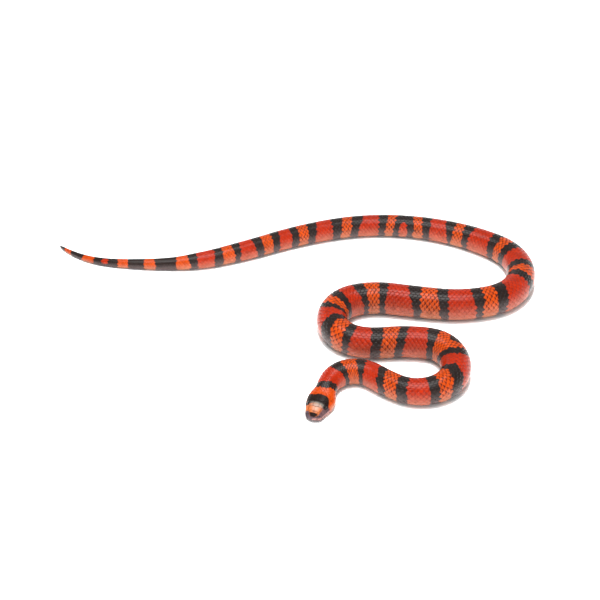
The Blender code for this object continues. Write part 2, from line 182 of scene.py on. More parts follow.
@dataclass(frozen=True)
class SnakeSizes:
    """The driving dimensions of the snake, the same as in its solids."""

    snout_at: tuple[float, float] = (17.15, -147.85)
    heading_at_snout: float = 70.0
    bends: Pairs = (
        (22, -3), (17, 10), (52, -120), (25, 9), (95, 161), (18, 41), (39, 20),
        (22, -19), (83, -150), (34, -30), (43, 2), (51, 28), (109, 120), (37, 13), (133, 43),
        (68, 12), (52, -6), (51, -20), (58, -10), (67, -43),
    )
    bend_blend: float = 22.0
    spine_step: float = 0.5
    girth: Pairs = (
        (34, 9.2), (44, 9.8), (54, 10.7), (66, 11.1), (116, 11.3), (176, 13.1), (221, 14.0),
        (286, 13.8), (376, 14.7), (506, 14.0), (576, 13.2), (696, 11.0), (796, 10.3), (876, 9.5),
        (921, 8.2), (951, 6.3), (991, 4.8), (1041, 3.2), (1064, 2.1), (1076, 1.0),
    )
    body_height: float = 1.90
    body_widest: float = 0.88
    belly_sink: float = 0.06
    head_stations: tuple[tuple[float, float, float, float], ...] = (
        (0.0, 6.6, 7.6, 3.6), (3.0, 7.3, 9.0, 3.8), (7.0, 8.4, 10.6, 4.0),
        (11.5, 9.9, 11.9, 4.4), (16.0, 11.4, 12.8, 4.8), (21.0, 12.3, 13.6, 5.4),
        (26.0, 12.1, 14.5, 6.3), (31.0, 10.8, 15.7, 7.3), (36.0, 9.5, 16.9, 8.0),
        (44.0, 9.5, 18.0, 8.4),
    )
    head_fade: tuple[float, float] = (27.0, 44.0)
    snout_level: float = 4.6
    snout_plan: float = 5.0
    snout_top: float = 4.6
    upper_power: tuple[float, float] = (2.15, 0.1)
    lower_power: tuple[float, float] = (2.7, 0.2)
    chin: Pairs = (
        (0.0, 4.6), (0.2, 3.5), (0.6, 2.95), (1.1, 2.7), (1.35, 1.7), (1.9, 0.75), (2.8, 0.2),
        (4.2, 0.0),
    )
    mouth_line: Pairs = (
        (1.0, 2.9), (4.0, 2.7), (9.7, 2.8), (15.1, 3.0), (19.4, 3.6), (23.2, 4.6), (31.0, 5.6),
    )
    mouth_corner: float = 22.6
    eye_along: float = 12.6
    eye_level: float = 9.6
    vent: float = 931.0

    @property
    def total(self) -> float:
        """The length of the spine."""
        return float(sum(length for length, _ in self.bends))


class Surface:
    """The snake's outer form as a table of points, by length along it and turn round it."""

    COLUMNS = 120
    HALF_RING = 241
    ROW_STEP = 0.5
    SNOUT_ROWS = 24
    SNOUT_REACH = 4.5
    BELLY_FLATTENS = (3.0, 8.0)

    def __init__(self, sizes: SnakeSizes) -> None:
        """Work out the spine and the table of points and normals.

        Args:
            sizes: the snake's dimensions.
        """
        self.sizes = sizes
        self.girth = through(sizes.girth)
        self.head = [through([(row[0], row[i]) for row in sizes.head_stations]) for i in (1, 2, 3)]
        self.chin = through(sizes.chin)
        self.mouth_level = through(sizes.mouth_line)
        self._lay_spine()
        near = self.SNOUT_REACH * np.linspace(0.05, 1.0, self.SNOUT_ROWS) ** 2
        far = np.arange(self.SNOUT_REACH + self.ROW_STEP, sizes.total - self.ROW_STEP, self.ROW_STEP)
        self.rows = np.concatenate((near, far))
        self._fill_table()

    def _lay_spine(self) -> None:
        """Lay the chain of bends on the floor as points and headings by length."""
        sizes = self.sizes
        middles = np.arange(0.5 * sizes.spine_step, sizes.total, sizes.spine_step)
        ends = np.cumsum([length for length, _ in sizes.bends])
        each = np.searchsorted(ends, middles, side="right")
        bend = np.radians([turn / length for length, turn in sizes.bends])[each]
        reach = int(sizes.bend_blend / sizes.spine_step)
        window = np.hanning(reach + 2)[1:-1]
        padded = np.pad(bend, reach, mode="edge")
        bend = np.convolve(padded, window / window.sum(), "same")[reach:-reach]
        turned = np.concatenate(([0.0], np.cumsum(bend * sizes.spine_step)))
        self.heading = math.radians(sizes.heading_at_snout) + turned
        middle = 0.5 * (self.heading[1:] + self.heading[:-1])
        self.x, self.y = (start + np.concatenate(([0.0], np.cumsum(part * sizes.spine_step)))
                          for start, part in zip(sizes.snout_at, (np.cos(middle), np.sin(middle))))
        self.spine = np.arange(len(self.x)) * sizes.spine_step

    def half_ring(self, s: float) -> tuple[np.ndarray, np.ndarray]:
        """The section's outline from the back down one side to the belly.

        Args:
            s: the length from the snout.

        Returns:
            Distances to the side and levels, at even angles.
        """
        sizes = self.sizes
        body = float(fade(s, *sizes.head_fade))
        girth = float(self.girth(s))
        wide, top, widest = (float(curve(s)) for curve in self.head)
        wide = (1 - body) * wide + body * girth
        top = (1 - body) * top + body * sizes.body_height * girth
        widest = (1 - body) * widest + body * sizes.body_widest * girth
        opened_plan, opened_top = (math.sqrt(max(1 - max(1 - s / reach, 0.0) ** 2, 0.0))
                                   for reach in (sizes.snout_plan, sizes.snout_top))
        wide *= opened_plan
        top = sizes.snout_level + (top - sizes.snout_level) * opened_top
        widest = sizes.snout_level + (widest - sizes.snout_level) * opened_top
        low = float(self.chin(s))
        widest = max(widest, low + 0.01)
        sink = sizes.belly_sink * wide * float(fade(s, *self.BELLY_FLATTENS))
        angle = np.linspace(0.0, math.pi, self.HALF_RING)
        upper = np.cos(angle) >= 0
        power = np.where(upper, *(2 / (on_head - less_on_body * body)
                                  for on_head, less_on_body in (sizes.upper_power, sizes.lower_power)))
        left = wide * np.abs(np.sin(angle)) ** power
        rise = np.abs(np.cos(angle)) ** power
        up = np.where(upper, widest + (top - widest) * rise, widest - (widest - low + sink) * rise)
        return left, np.maximum(up, low)

    def _fill_table(self) -> None:
        """Fill the table with points and unit normals, in millimetres."""
        share = np.linspace(0.0, 1.0, self.COLUMNS + 1)
        left = np.zeros((len(self.rows), self.COLUMNS + 1))
        up = np.zeros_like(left)
        self.half_girth = np.zeros(len(self.rows))
        for i, s in enumerate(self.rows):
            ring_left, ring_up = self.half_ring(float(s))
            arc = np.concatenate(([0.0], np.cumsum(np.hypot(np.diff(ring_left), np.diff(ring_up)))))
            self.half_girth[i] = arc[-1]
            left[i] = np.interp(share * arc[-1], arc, ring_left)
            up[i] = np.interp(share * arc[-1], arc, ring_up)
        self.left, self.up = left, up
        both_left = np.concatenate((-left[:, :0:-1], left), axis=1)
        both_up = np.concatenate((up[:, :0:-1], up), axis=1)
        heading = np.interp(self.rows, self.spine, self.heading)[:, None]
        x = np.interp(self.rows, self.spine, self.x)[:, None] - both_left * np.sin(heading)
        y = np.interp(self.rows, self.spine, self.y)[:, None] + both_left * np.cos(heading)
        self.points = np.stack((x, y, both_up), axis=2)
        along = np.gradient(self.points, axis=0)
        around = np.gradient(self.points, axis=1)
        wrap = self.points[:, 1] - self.points[:, -2]
        around[:, 0] = around[:, -1] = wrap
        normal = np.cross(along, around)
        self.normals = normal / np.maximum(np.linalg.norm(normal, axis=2, keepdims=True), 1e-9)

    def at(self, s: np.ndarray, turn: np.ndarray, out: np.ndarray | float = 0.0) -> np.ndarray:
        """Points on the form, or this far out from it.

        Args:
            s: lengths from the snout.
            turn: turns round the body, which may run past 1 on the belly.
            out: distances out along the normal.

        Returns:
            Points in millimetres, one row each.
        """
        s, turn = np.broadcast_arrays(np.asarray(s, float), np.asarray(turn, float))
        row = np.interp(s, self.rows, np.arange(len(self.rows)))
        column = (wrapped(turn) + 1.0) * self.COLUMNS
        i = np.clip(row.astype(int), 0, len(self.rows) - 2)
        j = np.clip(column.astype(int), 0, 2 * self.COLUMNS - 1)
        u, v = (row - i)[..., None], (column - j)[..., None]
        both = []
        for table in (self.points, self.normals):
            first = table[i, j] * (1 - v) + table[i, j + 1] * v
            second = table[i + 1, j] * (1 - v) + table[i + 1, j + 1] * v
            both.append(first * (1 - u) + second * u)
        return both[0] + both[1] * np.broadcast_to(out, s.shape)[..., None]

    def girth_at(self, s: np.ndarray) -> np.ndarray:
        """The way from the back round to the belly at each length."""
        return np.interp(s, self.rows, self.half_girth)

    def _row(self, s: float) -> tuple[np.ndarray, np.ndarray]:
        """One half of the section at a length, from the back to the belly.

        Args:
            s: the length from the snout.

        Returns:
            Distances to the side and levels.
        """
        row = np.interp(s, self.rows, np.arange(len(self.rows)))
        i = min(int(row), len(self.rows) - 2)
        t = row - i
        left, up = ((1 - t) * table[i] + t * table[i + 1] for table in (self.left, self.up))
        return left, up

    def turn_across(self, s: float, aside: float) -> float:
        """The turn at which the back lies this far to the side of the middle.

        Args:
            s: the length from the snout.
            aside: the distance to the side, less than nought on the other side.

        Returns:
            The turn, of the distance's own sign.
        """
        left, _ = self._row(s)
        widest = int(np.argmax(left))
        share = np.interp(abs(aside), left[: widest + 1], np.arange(widest + 1)) / self.COLUMNS
        return math.copysign(share, aside)

    def turn_at_level(self, s: float, level: float) -> float:
        """The turn at which the side passes a level."""
        _, up = self._row(s)
        return float(np.interp(-level, -up, np.arange(self.COLUMNS + 1))) / self.COLUMNS

    def axes(self, s: float) -> tuple[Vector, Vector, Vector]:
        """The directions at a length.

        Args:
            s: the length from the snout.

        Returns:
            Unit vectors back along the spine, to the left of its run in plan, and up.
        """
        heading = float(np.interp(s, self.spine, self.heading))
        along = Vector((math.cos(heading), math.sin(heading), 0.0))
        return along, Vector((-along.y, along.x, 0.0)), Vector((0.0, 0.0, 1.0))


class Ground(Enum):
    """The colour a scale grows on."""

    RED = 0
    BLACK = 1
    ORANGE = 2

    @property
    def slot(self) -> str:
        """The record's slot for this colour."""
        return {Ground.RED: "scarlet_skin", Ground.BLACK: "black_skin", Ground.ORANGE: "orange_skin"}[self]


@dataclass(frozen=True)
class Tints:
    """Base colours of the skin, linear red, green and blue."""

    red: Triple = (0.41, 0.020, 0.0015)
    orange: Triple = (0.57, 0.060, 0.002)
    black: Triple = (0.018, 0.010, 0.008)
    red_tip: Triple = (0.11, 0.005, 0.003)
    orange_tip: Triple = (0.045, 0.006, 0.003)
    black_tip: Triple = (0.012, 0.011, 0.012)
    # The _belly tints: sides and belly paler, partly by their own colour and partly as painted reflection
    # of the bright floor
    red_belly: Triple = (0.39, 0.145, 0.087)
    orange_belly: Triple = (0.32, 0.16, 0.094)
    black_belly: Triple = (0.115, 0.078, 0.075)
    # cream: the pale underside of the jaw, and in the snout's middle partly a painted highlight
    cream: Triple = (0.76, 0.40, 0.29)
    ash: Triple = (0.24, 0.225, 0.19)
    pale: Triple = (0.42, 0.33, 0.28)
    brown: Triple = (0.20, 0.055, 0.020)
    # peach: the head's lower sides behind the eye, partly their own colour and partly painted reflection of
    # the floor
    peach: Triple = (0.70, 0.26, 0.14)
    pink: Triple = (0.48, 0.23, 0.20)
    # chin: a dark mauve that is painted shade under the front of the jaw
    chin: Triple = (0.24, 0.14, 0.14)
    mauve: Triple = (0.098, 0.066, 0.082)
    snout: Triple = (0.58, 0.145, 0.033)

    def of(self, name: str) -> np.ndarray:
        """One tint as an array."""
        return np.array(getattr(self, name))

    def for_grounds(self, ending: str = "") -> np.ndarray:
        """The tints of all grounds in the order of their values, such as all that end in _belly."""
        return np.stack([self.of(ground.name.lower() + ending) for ground in Ground])


class Markings:
    """Where the rings lie: which ground and which colour the skin has at any place."""

    # Where each ring starts: at turn -0.5, along the back, and at turn 0.5
    RINGS = (
        (Ground.BLACK, 34.5, 29.6, 31.0), (Ground.RED, 40.5, 36.5, 36.5),
        (Ground.BLACK, 57.5, 51.5, 55.0), (Ground.ORANGE, 64.0, 60.5, 66.0),
        (Ground.BLACK, 79.5, 73.7, 73.5), (Ground.RED, 85.0, 82.0, 80.5),
        (Ground.BLACK, 103.0, 95.3, 91.5), (Ground.ORANGE, 110.0, 103.3, 100.5),
        (Ground.BLACK, 119.7, 117.0, 117.0), (Ground.RED, 127.0, 125.5, 131.0),
        (Ground.BLACK, 142.3, 141.8, 140.5), (Ground.ORANGE, 148.5, 150.3, 155.0),
        (Ground.BLACK, 157.0, 164.7, 167.0), (Ground.RED, 167.0, 175.8, 172.0),
        (Ground.BLACK, 191.5, 189.3, 196.0), (Ground.ORANGE, 199.0, 196.8, 206.0),
        (Ground.BLACK, 222.5, 221.0, 216.8), (Ground.RED, 233.0, 230.5, 228.5),
        (Ground.BLACK, 245.0, 248.2, 254.0), (Ground.ORANGE, 255.0, 256.5, 262.5),
        (Ground.BLACK, 268.0, 270.7, 274.7), (Ground.RED, 281.0, 281.5, 281.7),
        (Ground.BLACK, 294.0, 295.5, 297.5), (Ground.ORANGE, 305.0, 304.0, 301.5),
        (Ground.BLACK, 313.0, 316.8, 310.0), (Ground.RED, 320.0, 325.5, 321.0),
        (Ground.BLACK, 331.0, 334.3, 342.0), (Ground.ORANGE, 336.0, 340.3, 348.0),
        (Ground.BLACK, 345.5, 350.0, 358.0), (Ground.RED, 355.5, 358.8, 363.0),
        (Ground.BLACK, 378.5, 372.3, 370.0), (Ground.ORANGE, 384.3, 382.8, 382.5),
        (Ground.BLACK, 397.0, 396.0, 396.0), (Ground.RED, 404.0, 404.8, 405.0),
        (Ground.BLACK, 430.5, 423.5, 420.0), (Ground.ORANGE, 437.5, 435.0, 433.5),
        (Ground.BLACK, 454.0, 450.5, 450.0), (Ground.RED, 461.2, 460.3, 460.0),
        (Ground.BLACK, 484.0, 481.8, 481.5), (Ground.ORANGE, 490.3, 492.5, 493.0),
        (Ground.BLACK, 503.0, 504.3, 506.0), (Ground.RED, 510.8, 516.0, 520.0),
        (Ground.BLACK, 537.0, 537.6, 540.0), (Ground.ORANGE, 545.0, 547.3, 547.5),
        (Ground.BLACK, 558.5, 558.0, 553.5), (Ground.RED, 565.0, 566.5, 567.0),
        (Ground.BLACK, 585.5, 585.5, 586.5), (Ground.ORANGE, 595.0, 595.6, 596.5),
        (Ground.BLACK, 608.0, 607.0, 606.5), (Ground.RED, 619.0, 617.2, 614.5),
        (Ground.BLACK, 636.5, 637.2, 639.0), (Ground.ORANGE, 647.5, 647.0, 646.0),
        (Ground.BLACK, 656.0, 656.2, 657.6), (Ground.RED, 668.0, 667.0, 662.0),
        (Ground.BLACK, 681.5, 682.0, 681.5), (Ground.ORANGE, 693.5, 691.8, 688.8),
        (Ground.BLACK, 701.0, 700.4, 698.8), (Ground.ORANGE, 715.0, 716.8, 721.0),
        (Ground.BLACK, 724.0, 725.6, 729.5), (Ground.RED, 734.5, 734.8, 736.5),
        (Ground.BLACK, 749.0, 751.3, 757.0), (Ground.ORANGE, 761.0, 762.5, 766.0),
        (Ground.BLACK, 771.5, 772.8, 776.0), (Ground.RED, 782.0, 784.4, 785.5),
        (Ground.BLACK, 796.0, 799.3, 804.0), (Ground.ORANGE, 808.5, 809.5, 811.5),
        (Ground.BLACK, 819.5, 820.4, 821.5), (Ground.RED, 828.0, 828.8, 829.6),
        (Ground.BLACK, 838.5, 839.8, 843.0), (Ground.ORANGE, 849.0, 849.6, 850.0),
        (Ground.BLACK, 860.0, 860.4, 859.3), (Ground.RED, 869.0, 869.3, 867.0),
        (Ground.BLACK, 881.5, 882.3, 884.0), (Ground.ORANGE, 890.5, 890.8, 890.3),
        (Ground.BLACK, 900.5, 900.8, 902.0), (Ground.RED, 908.5, 908.8, 909.5),
        (Ground.BLACK, 926.0, 925.7, 925.5), (Ground.ORANGE, 935.5, 935.0, 932.3),
        (Ground.BLACK, 945.5, 945.6, 946.0), (Ground.ORANGE, 967.0, 967.0, 965.6),
        (Ground.BLACK, 976.5, 976.8, 977.2), (Ground.ORANGE, 994.5, 993.8, 992.3),
        (Ground.BLACK, 1003.5, 1003.5, 1003.3), (Ground.ORANGE, 1028.0, 1027.8, 1027.3),
        (Ground.BLACK, 1039.5, 1039.7, 1040.5), (Ground.ORANGE, 1058.5, 1057.0, 1053.8),
        (Ground.BLACK, 1067.0, 1065.7, 1065.0),
    )
    # Marks that break the rings: middle along and round, half their reach each way, ground
    MARKS = (
        (208.5, -0.20, 5.2, 0.17, Ground.BLACK), (709.8, 0.50, 4.4, 0.29, Ground.RED),
        (1016.0, 0.22, 3.4, 0.26, Ground.RED),
    )

    # The black cap on the head: turns and the lengths where it starts and where it ends
    CAP_FRONT = (
        (-0.45, 13.0), (-0.36, 12.0), (-0.28, 9.8), (-0.20, 10.6), (-0.10, 12.2), (0.05, 12.6),
        (0.20, 11.2), (0.30, 10.8), (0.45, 12.0),
    )
    CAP_BACK = (
        (-0.45, 13.0), (-0.38, 14.5), (-0.32, 17.0), (-0.26, 20.0), (-0.18, 22.0), (0.03, 22.4),
        (0.18, 21.2), (0.30, 22.0), (0.44, 22.6), (0.55, 14.0),
    )
    # Soft marks on the snout: tint, share, middle along, and half its reach along and round. The cream one
    # in the snout's middle is partly its own paler tone and partly a painted highlight.
    HEAD_MARKS = (
        ("cream", 0.9, 7.0, 2.9, 0.13), ("pale", 0.92, 10.3, 1.7, 0.22), ("ash", 0.9, 12.4, 1.0, 0.27),
        ("brown", 0.8, 4.2, 0.7, 0.07),
    )
    MARKS_MIDDLE = -0.04
    PEACH_SHARE, CHEEK_SHARE, NOSE_SHARE, LIP_SHARE = 0.75, 0.9, 0.95, 0.75
    # How much paler the sides grow, and the turns from which and to which they do: partly the belly's own
    # paler colour, partly painted reflection of the bright floor
    PALER_AND_FLOOR_REFLECTION = ((0.5, 0.26, 0.58), (0.4, 0.50, 0.80))
    # Dark tips: strength, lengths where they come in, share lost on the tail, lengths where it goes
    ORANGE_TIPS = (1.0, 56.0, 62.0, 0.75, 780.0, 930.0)
    RED_TIPS = (0.52, 95.0, 125.0, 0.85, 760.0, 860.0)
    # Pairs of places: where a colour is not there yet, and where it is there in full
    TIPS_ON_BACK = (0.62, 0.40)
    SNOUT_BEFORE_CAP = (0.0, 0.8)
    # Peach on the lower sides of the head behind the eye: partly its own colour, partly painted reflection
    # of the floor
    PEACH_LEVEL, PEACH_STARTS, PEACH_ENDS = (9.4, 6.8), (14.0, 17.0), (32.0, 27.0)
    CHEEK_LEFT, CHEEK_ENDS = (-0.25, -0.30), (15.5, 13.5)
    CHEEK_RIGHT, CHEEK_WIDENS, CHEEK_SOFT = (0.20, 0.26), (3.8, 6.0), 0.05
    NOSE_ENDS, NOSE_LEVEL, NOSE_SIDE = (4.4, 3.4), (7.0, 6.2), (0.16, 0.24)
    LIP_HEIGHT, LIP_ENDS, LIP_STARTS, LIP_LEFT = (2.9, 1.7), (25.0, 20.0), (3.0, 8.0), (-0.15, -0.32)
    MUZZLE_ENDS, MUZZLE_LEVEL, MUZZLE_SIDE, MUZZLE_MIDDLE = (3.6, 2.8), (5.7, 6.5), (0.26, 0.17), -0.03
    # Under the mouth: painted shade as a dark mauve under the jaw's front, giving way to the jaw's pale
    # cream further back
    UNDER_MOUTH, UNDER_ENDS, CHIN_PALES = (0.2, 1.2), (34.0, 26.0), (6.0, 14.0)

    def __init__(self, surface: Surface, tints: Tints) -> None:
        """Keep the rings' starts as rising rows for lookups.

        Args:
            surface: the snake's form.
            tints: its base colours.
        """
        self.cap_front = through(self.CAP_FRONT)
        self.cap_back = through(self.CAP_BACK)
        self.surface = surface
        self.tints = tints
        self.starts = np.array([ring[1:] for ring in self.RINGS])
        self.kinds = np.array([Ground.ORANGE.value] + [ring[0].value for ring in self.RINGS])

    def ground(self, s: np.ndarray, turn: np.ndarray) -> np.ndarray:
        """The ground at each place.

        Args:
            s: lengths from the snout.
            turn: turns round the body.

        Returns:
            Ground values.
        """
        s, side = np.broadcast_arrays(s, wrapped(turn))
        share = np.clip(side / 0.5, -1.0, 1.0)
        passed = np.zeros(s.shape, int)
        for minus, back, plus in self.starts:
            start = back + np.where(share < 0, (minus - back) * -share, (plus - back) * share)
            passed += s >= start
        found = self.kinds[passed]
        for middle, at, along, around, ground in self.MARKS:
            inside = ((s - middle) / along) ** 2 + ((side - at) / around) ** 2 < 1.0
            found = np.where(inside, ground.value, found)
        in_cap = (s > self.cap_front(side)) & (s < self.cap_back(side))
        return np.where(in_cap, Ground.BLACK.value, found)

    def plain(self, ground: np.ndarray, turn: np.ndarray) -> np.ndarray:
        """The colour of each ground, paler towards the belly, partly by its own colour and partly as
        painted reflection of the bright floor.

        Args:
            ground: Ground values.
            turn: turns round the body.

        Returns:
            Linear colours, one row each.
        """
        side = np.abs(wrapped(turn))
        paler = sum(share * fade(side, start, end) for share, start, end in self.PALER_AND_FLOOR_REFLECTION)
        return mixed(self.tints.for_grounds()[ground], self.tints.for_grounds("_belly")[ground], paler)

    def tip(self, ground: np.ndarray) -> np.ndarray:
        """The colour of the tips of scales on each ground."""
        return self.tints.for_grounds("_tip")[ground]

    def tip_strength(self, ground: np.ndarray, s: np.ndarray, turn: np.ndarray) -> np.ndarray:
        """How dark the tips of scales are: most on the back, less on neck, sides and tail.

        Args:
            ground: Ground values.
            s: lengths from the snout.
            turn: turns round the body.

        Returns:
            Shares of the tip's colour.
        """
        orange, red = (full * fade(s, neck, body) * (1 - lost * fade(s, rear, tail))
                       for full, neck, body, lost, rear, tail in (self.ORANGE_TIPS, self.RED_TIPS))
        on_back = fade(np.abs(wrapped(turn)), *self.TIPS_ON_BACK)
        return np.where(ground == Ground.ORANGE.value, orange, red) * on_back

    def head(self, s: np.ndarray, turn: np.ndarray) -> np.ndarray:
        """The colour of the head's skin and shields at each place.

        Args:
            s: lengths from the snout.
            turn: turns round the head.

        Returns:
            Linear colours, one row each.
        """
        tints = self.tints
        level = self.surface.at(s, turn)[..., 2]
        side = wrapped(turn)
        above = level - self.surface.mouth_level(s)
        colour = self.plain(self.ground(s, turn), turn * 0.0)
        colour = mixed(colour, tints.of("snout"), fade(self.cap_front(side) - s, *self.SNOUT_BEFORE_CAP))
        # Peach low on the head behind the eye: partly its own colour, partly painted reflection of the
        # floor
        peach = fade(level, *self.PEACH_LEVEL) * fade(s, *self.PEACH_STARTS) * fade(s, *self.PEACH_ENDS)
        colour = mixed(colour, tints.of("peach"), self.PEACH_SHARE * peach)
        # The cream mark in the snout's middle is partly a painted highlight
        for name, share, at, half_long, half_round in self.HEAD_MARKS:
            near = np.exp(-((s - at) / half_long) ** 2 - ((side - self.MARKS_MIDDLE) / half_round) ** 2)
            colour = mixed(colour, tints.of(name), share * near)
        right = self.CHEEK_RIGHT[0] + self.CHEEK_RIGHT[1] * fade(s, *self.CHEEK_WIDENS)
        cheek = np.where(side < 0, fade(side, *self.CHEEK_LEFT), fade(side, right, right + self.CHEEK_SOFT))
        cheek = self.CHEEK_SHARE * cheek * fade(s, *self.CHEEK_ENDS)
        colour = mixed(colour, tints.of("mauve"), cheek)
        nose = np.maximum(fade(level, *self.NOSE_LEVEL), fade(side, *self.NOSE_SIDE))
        colour = mixed(colour, tints.of("mauve"), self.NOSE_SHARE * (fade(s, *self.NOSE_ENDS) * nose))
        lip = fade(above, *self.LIP_HEIGHT) * fade(s, *self.LIP_ENDS)
        lip = lip * np.maximum(fade(s, *self.LIP_STARTS), fade(side, *self.LIP_LEFT))
        colour = mixed(colour, tints.of("pink"), self.LIP_SHARE * lip)
        muzzle = fade(s, *self.MUZZLE_ENDS) * fade(level, *self.MUZZLE_LEVEL)
        muzzle = muzzle * fade(np.abs(side - self.MUZZLE_MIDDLE), *self.MUZZLE_SIDE)
        colour = mixed(colour, tints.of("black"), muzzle)
        # Below the mouth line: painted shade under the jaw's front, then the jaw's own cream further back
        under = fade(-above, *self.UNDER_MOUTH) * fade(s, *self.UNDER_ENDS)
        return mixed(colour, mixed(tints.of("chin"), tints.of("cream"), fade(s, *self.CHIN_PALES)), under)


def mottled_shader(made: bpy.types.Material, scale: float, detail: float,
                   spread: float) -> tuple[bpy.types.Node, bpy.types.Node, bpy.types.Node]:
    """Colour a material by its mesh, a little lighter and darker from place to place.

    Args:
        made: the material.
        scale: the scale of the noise that does it.
        detail: that noise's detail.
        spread: how much lighter and darker, as a share.

    Returns:
        The shader, the noise and the node that gives places.
    """
    made.use_nodes = True
    nodes, links = made.node_tree.nodes, made.node_tree.links
    shader = nodes["Principled BSDF"]
    colour = nodes.new("ShaderNodeAttribute")
    colour.attribute_name = COLOUR
    place = nodes.new("ShaderNodeTexCoord")
    cloud = nodes.new("ShaderNodeTexNoise")
    cloud.inputs["Scale"].default_value = scale
    cloud.inputs["Detail"].default_value = detail
    links.new(place.outputs["Object"], cloud.inputs["Vector"])
    depth = nodes.new("ShaderNodeMapRange")
    depth.inputs["To Min"].default_value = 1.0 - spread
    depth.inputs["To Max"].default_value = 1.0 + spread
    links.new(cloud.outputs["Fac"], depth.inputs["Value"])
    tone = nodes.new("ShaderNodeVectorMath")
    tone.operation = "SCALE"
    links.new(colour.outputs["Color"], tone.inputs[0])
    links.new(depth.outputs["Result"], tone.inputs["Scale"])
    links.new(tone.outputs["Vector"], shader.inputs["Base Color"])
    return shader, cloud, place


@dataclass(frozen=True)
class SkinFinish:
    """Glossy scaled skin, its colour carried by the mesh and mottled a little."""

    name: str
    roughness: float = 0.21
    shine: float = 0.22
    mottle: float = 0.16
    mottle_scale: float = 260.0
    mottle_detail: float = 4.0
    smoother: float = 0.05
    rougher: float = 0.07
    grain: float = 0.05
    grain_scale: float = 3120.0
    grain_depth: float = 0.05

    def material(self) -> bpy.types.Material:
        """Build the material's nodes.

        Returns:
            The new material.
        """
        made = bpy.data.materials.new(self.name)
        shader, cloud, place = mottled_shader(made, self.mottle_scale, self.mottle_detail, self.mottle)
        nodes, links = made.node_tree.nodes, made.node_tree.links
        shader.inputs["Specular IOR Level"].default_value = self.shine
        sheen = nodes.new("ShaderNodeMapRange")
        sheen.inputs["To Min"].default_value = self.roughness - self.smoother
        sheen.inputs["To Max"].default_value = self.roughness + self.rougher
        links.new(cloud.outputs["Fac"], sheen.inputs["Value"])
        links.new(sheen.outputs["Result"], shader.inputs["Roughness"])
        fine = nodes.new("ShaderNodeTexNoise")
        fine.inputs["Scale"].default_value = self.grain_scale
        links.new(place.outputs["Object"], fine.inputs["Vector"])
        bump = nodes.new("ShaderNodeBump")
        bump.inputs["Strength"].default_value = self.grain
        bump.inputs["Distance"].default_value = self.grain_depth * MM
        links.new(fine.outputs["Fac"], bump.inputs["Height"])
        links.new(bump.outputs["Normal"], shader.inputs["Normal"])
        return made


@dataclass(frozen=True)
class WetFinish:
    """The wet gloss of an eye, its colour carried by the mesh and mottled."""

    name: str
    roughness: float = 0.06
    shine: float = 0.30
    mottle: float = 0.3
    mottle_scale: float = 1800.0
    mottle_detail: float = 2.0

    def material(self) -> bpy.types.Material:
        """Build the material's nodes.

        Returns:
            The new material.
        """
        made = bpy.data.materials.new(self.name)
        shader, _, _ = mottled_shader(made, self.mottle_scale, self.mottle_detail, self.mottle)
        shader.inputs["Roughness"].default_value = self.roughness
        shader.inputs["Specular IOR Level"].default_value = self.shine
        return made


@dataclass
class MeshParts:
    """The raw lists of one mesh: points in millimetres, faces, colours and flat coordinates."""

    points: np.ndarray
    faces: list[np.ndarray]
    colours: np.ndarray
    flat: np.ndarray

    def build(self, name: str, finish: bpy.types.Material, slot: str) -> bpy.types.Object:
        """Make the object, smooth shaded, with its colours and its OFBake map.

        Args:
            name: the piece's name.
            finish: its material.
            slot: not used.

        Returns:
            The new object, riding on the snake's one body.
        """
        mesh = bpy.data.meshes.new(name)
        corners = np.concatenate([faces.ravel() for faces in self.faces])
        sizes = np.concatenate([np.full(len(faces), faces.shape[1]) for faces in self.faces])
        mesh.vertices.add(len(self.points))
        mesh.vertices.foreach_set("co", (self.points * MM).astype(np.float32).ravel())
        mesh.loops.add(len(corners))
        mesh.loops.foreach_set("vertex_index", corners.astype(np.int32))
        mesh.polygons.add(len(sizes))
        starts = np.concatenate(([0], np.cumsum(sizes)[:-1]))
        mesh.polygons.foreach_set("loop_start", starts.astype(np.int32))
        mesh.update(calc_edges=True)
        colours = mesh.color_attributes.new(COLOUR, "FLOAT_COLOR", "POINT")
        rgba = np.concatenate((self.colours, np.ones((len(self.colours), 1))), axis=1)
        colours.data.foreach_set("color", rgba.astype(np.float32).ravel())
        uv = mesh.uv_layers.new(name=BAKE_MAP)
        flat = self.flat[corners] if len(self.flat) == len(self.points) else self.flat
        uv.data.foreach_set("uv", flat.astype(np.float32).ravel())
        mesh.validate()
        mesh.shade_smooth()
        mesh.materials.append(finish)
        made = bpy.data.objects.new(name, mesh)
        bpy.context.scene.collection.objects.link(made)
        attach(made, BODY)
        mesh.calc_loop_triangles()
        LOG.info("%s: %d triangles", name, len(mesh.loop_triangles))
        return made


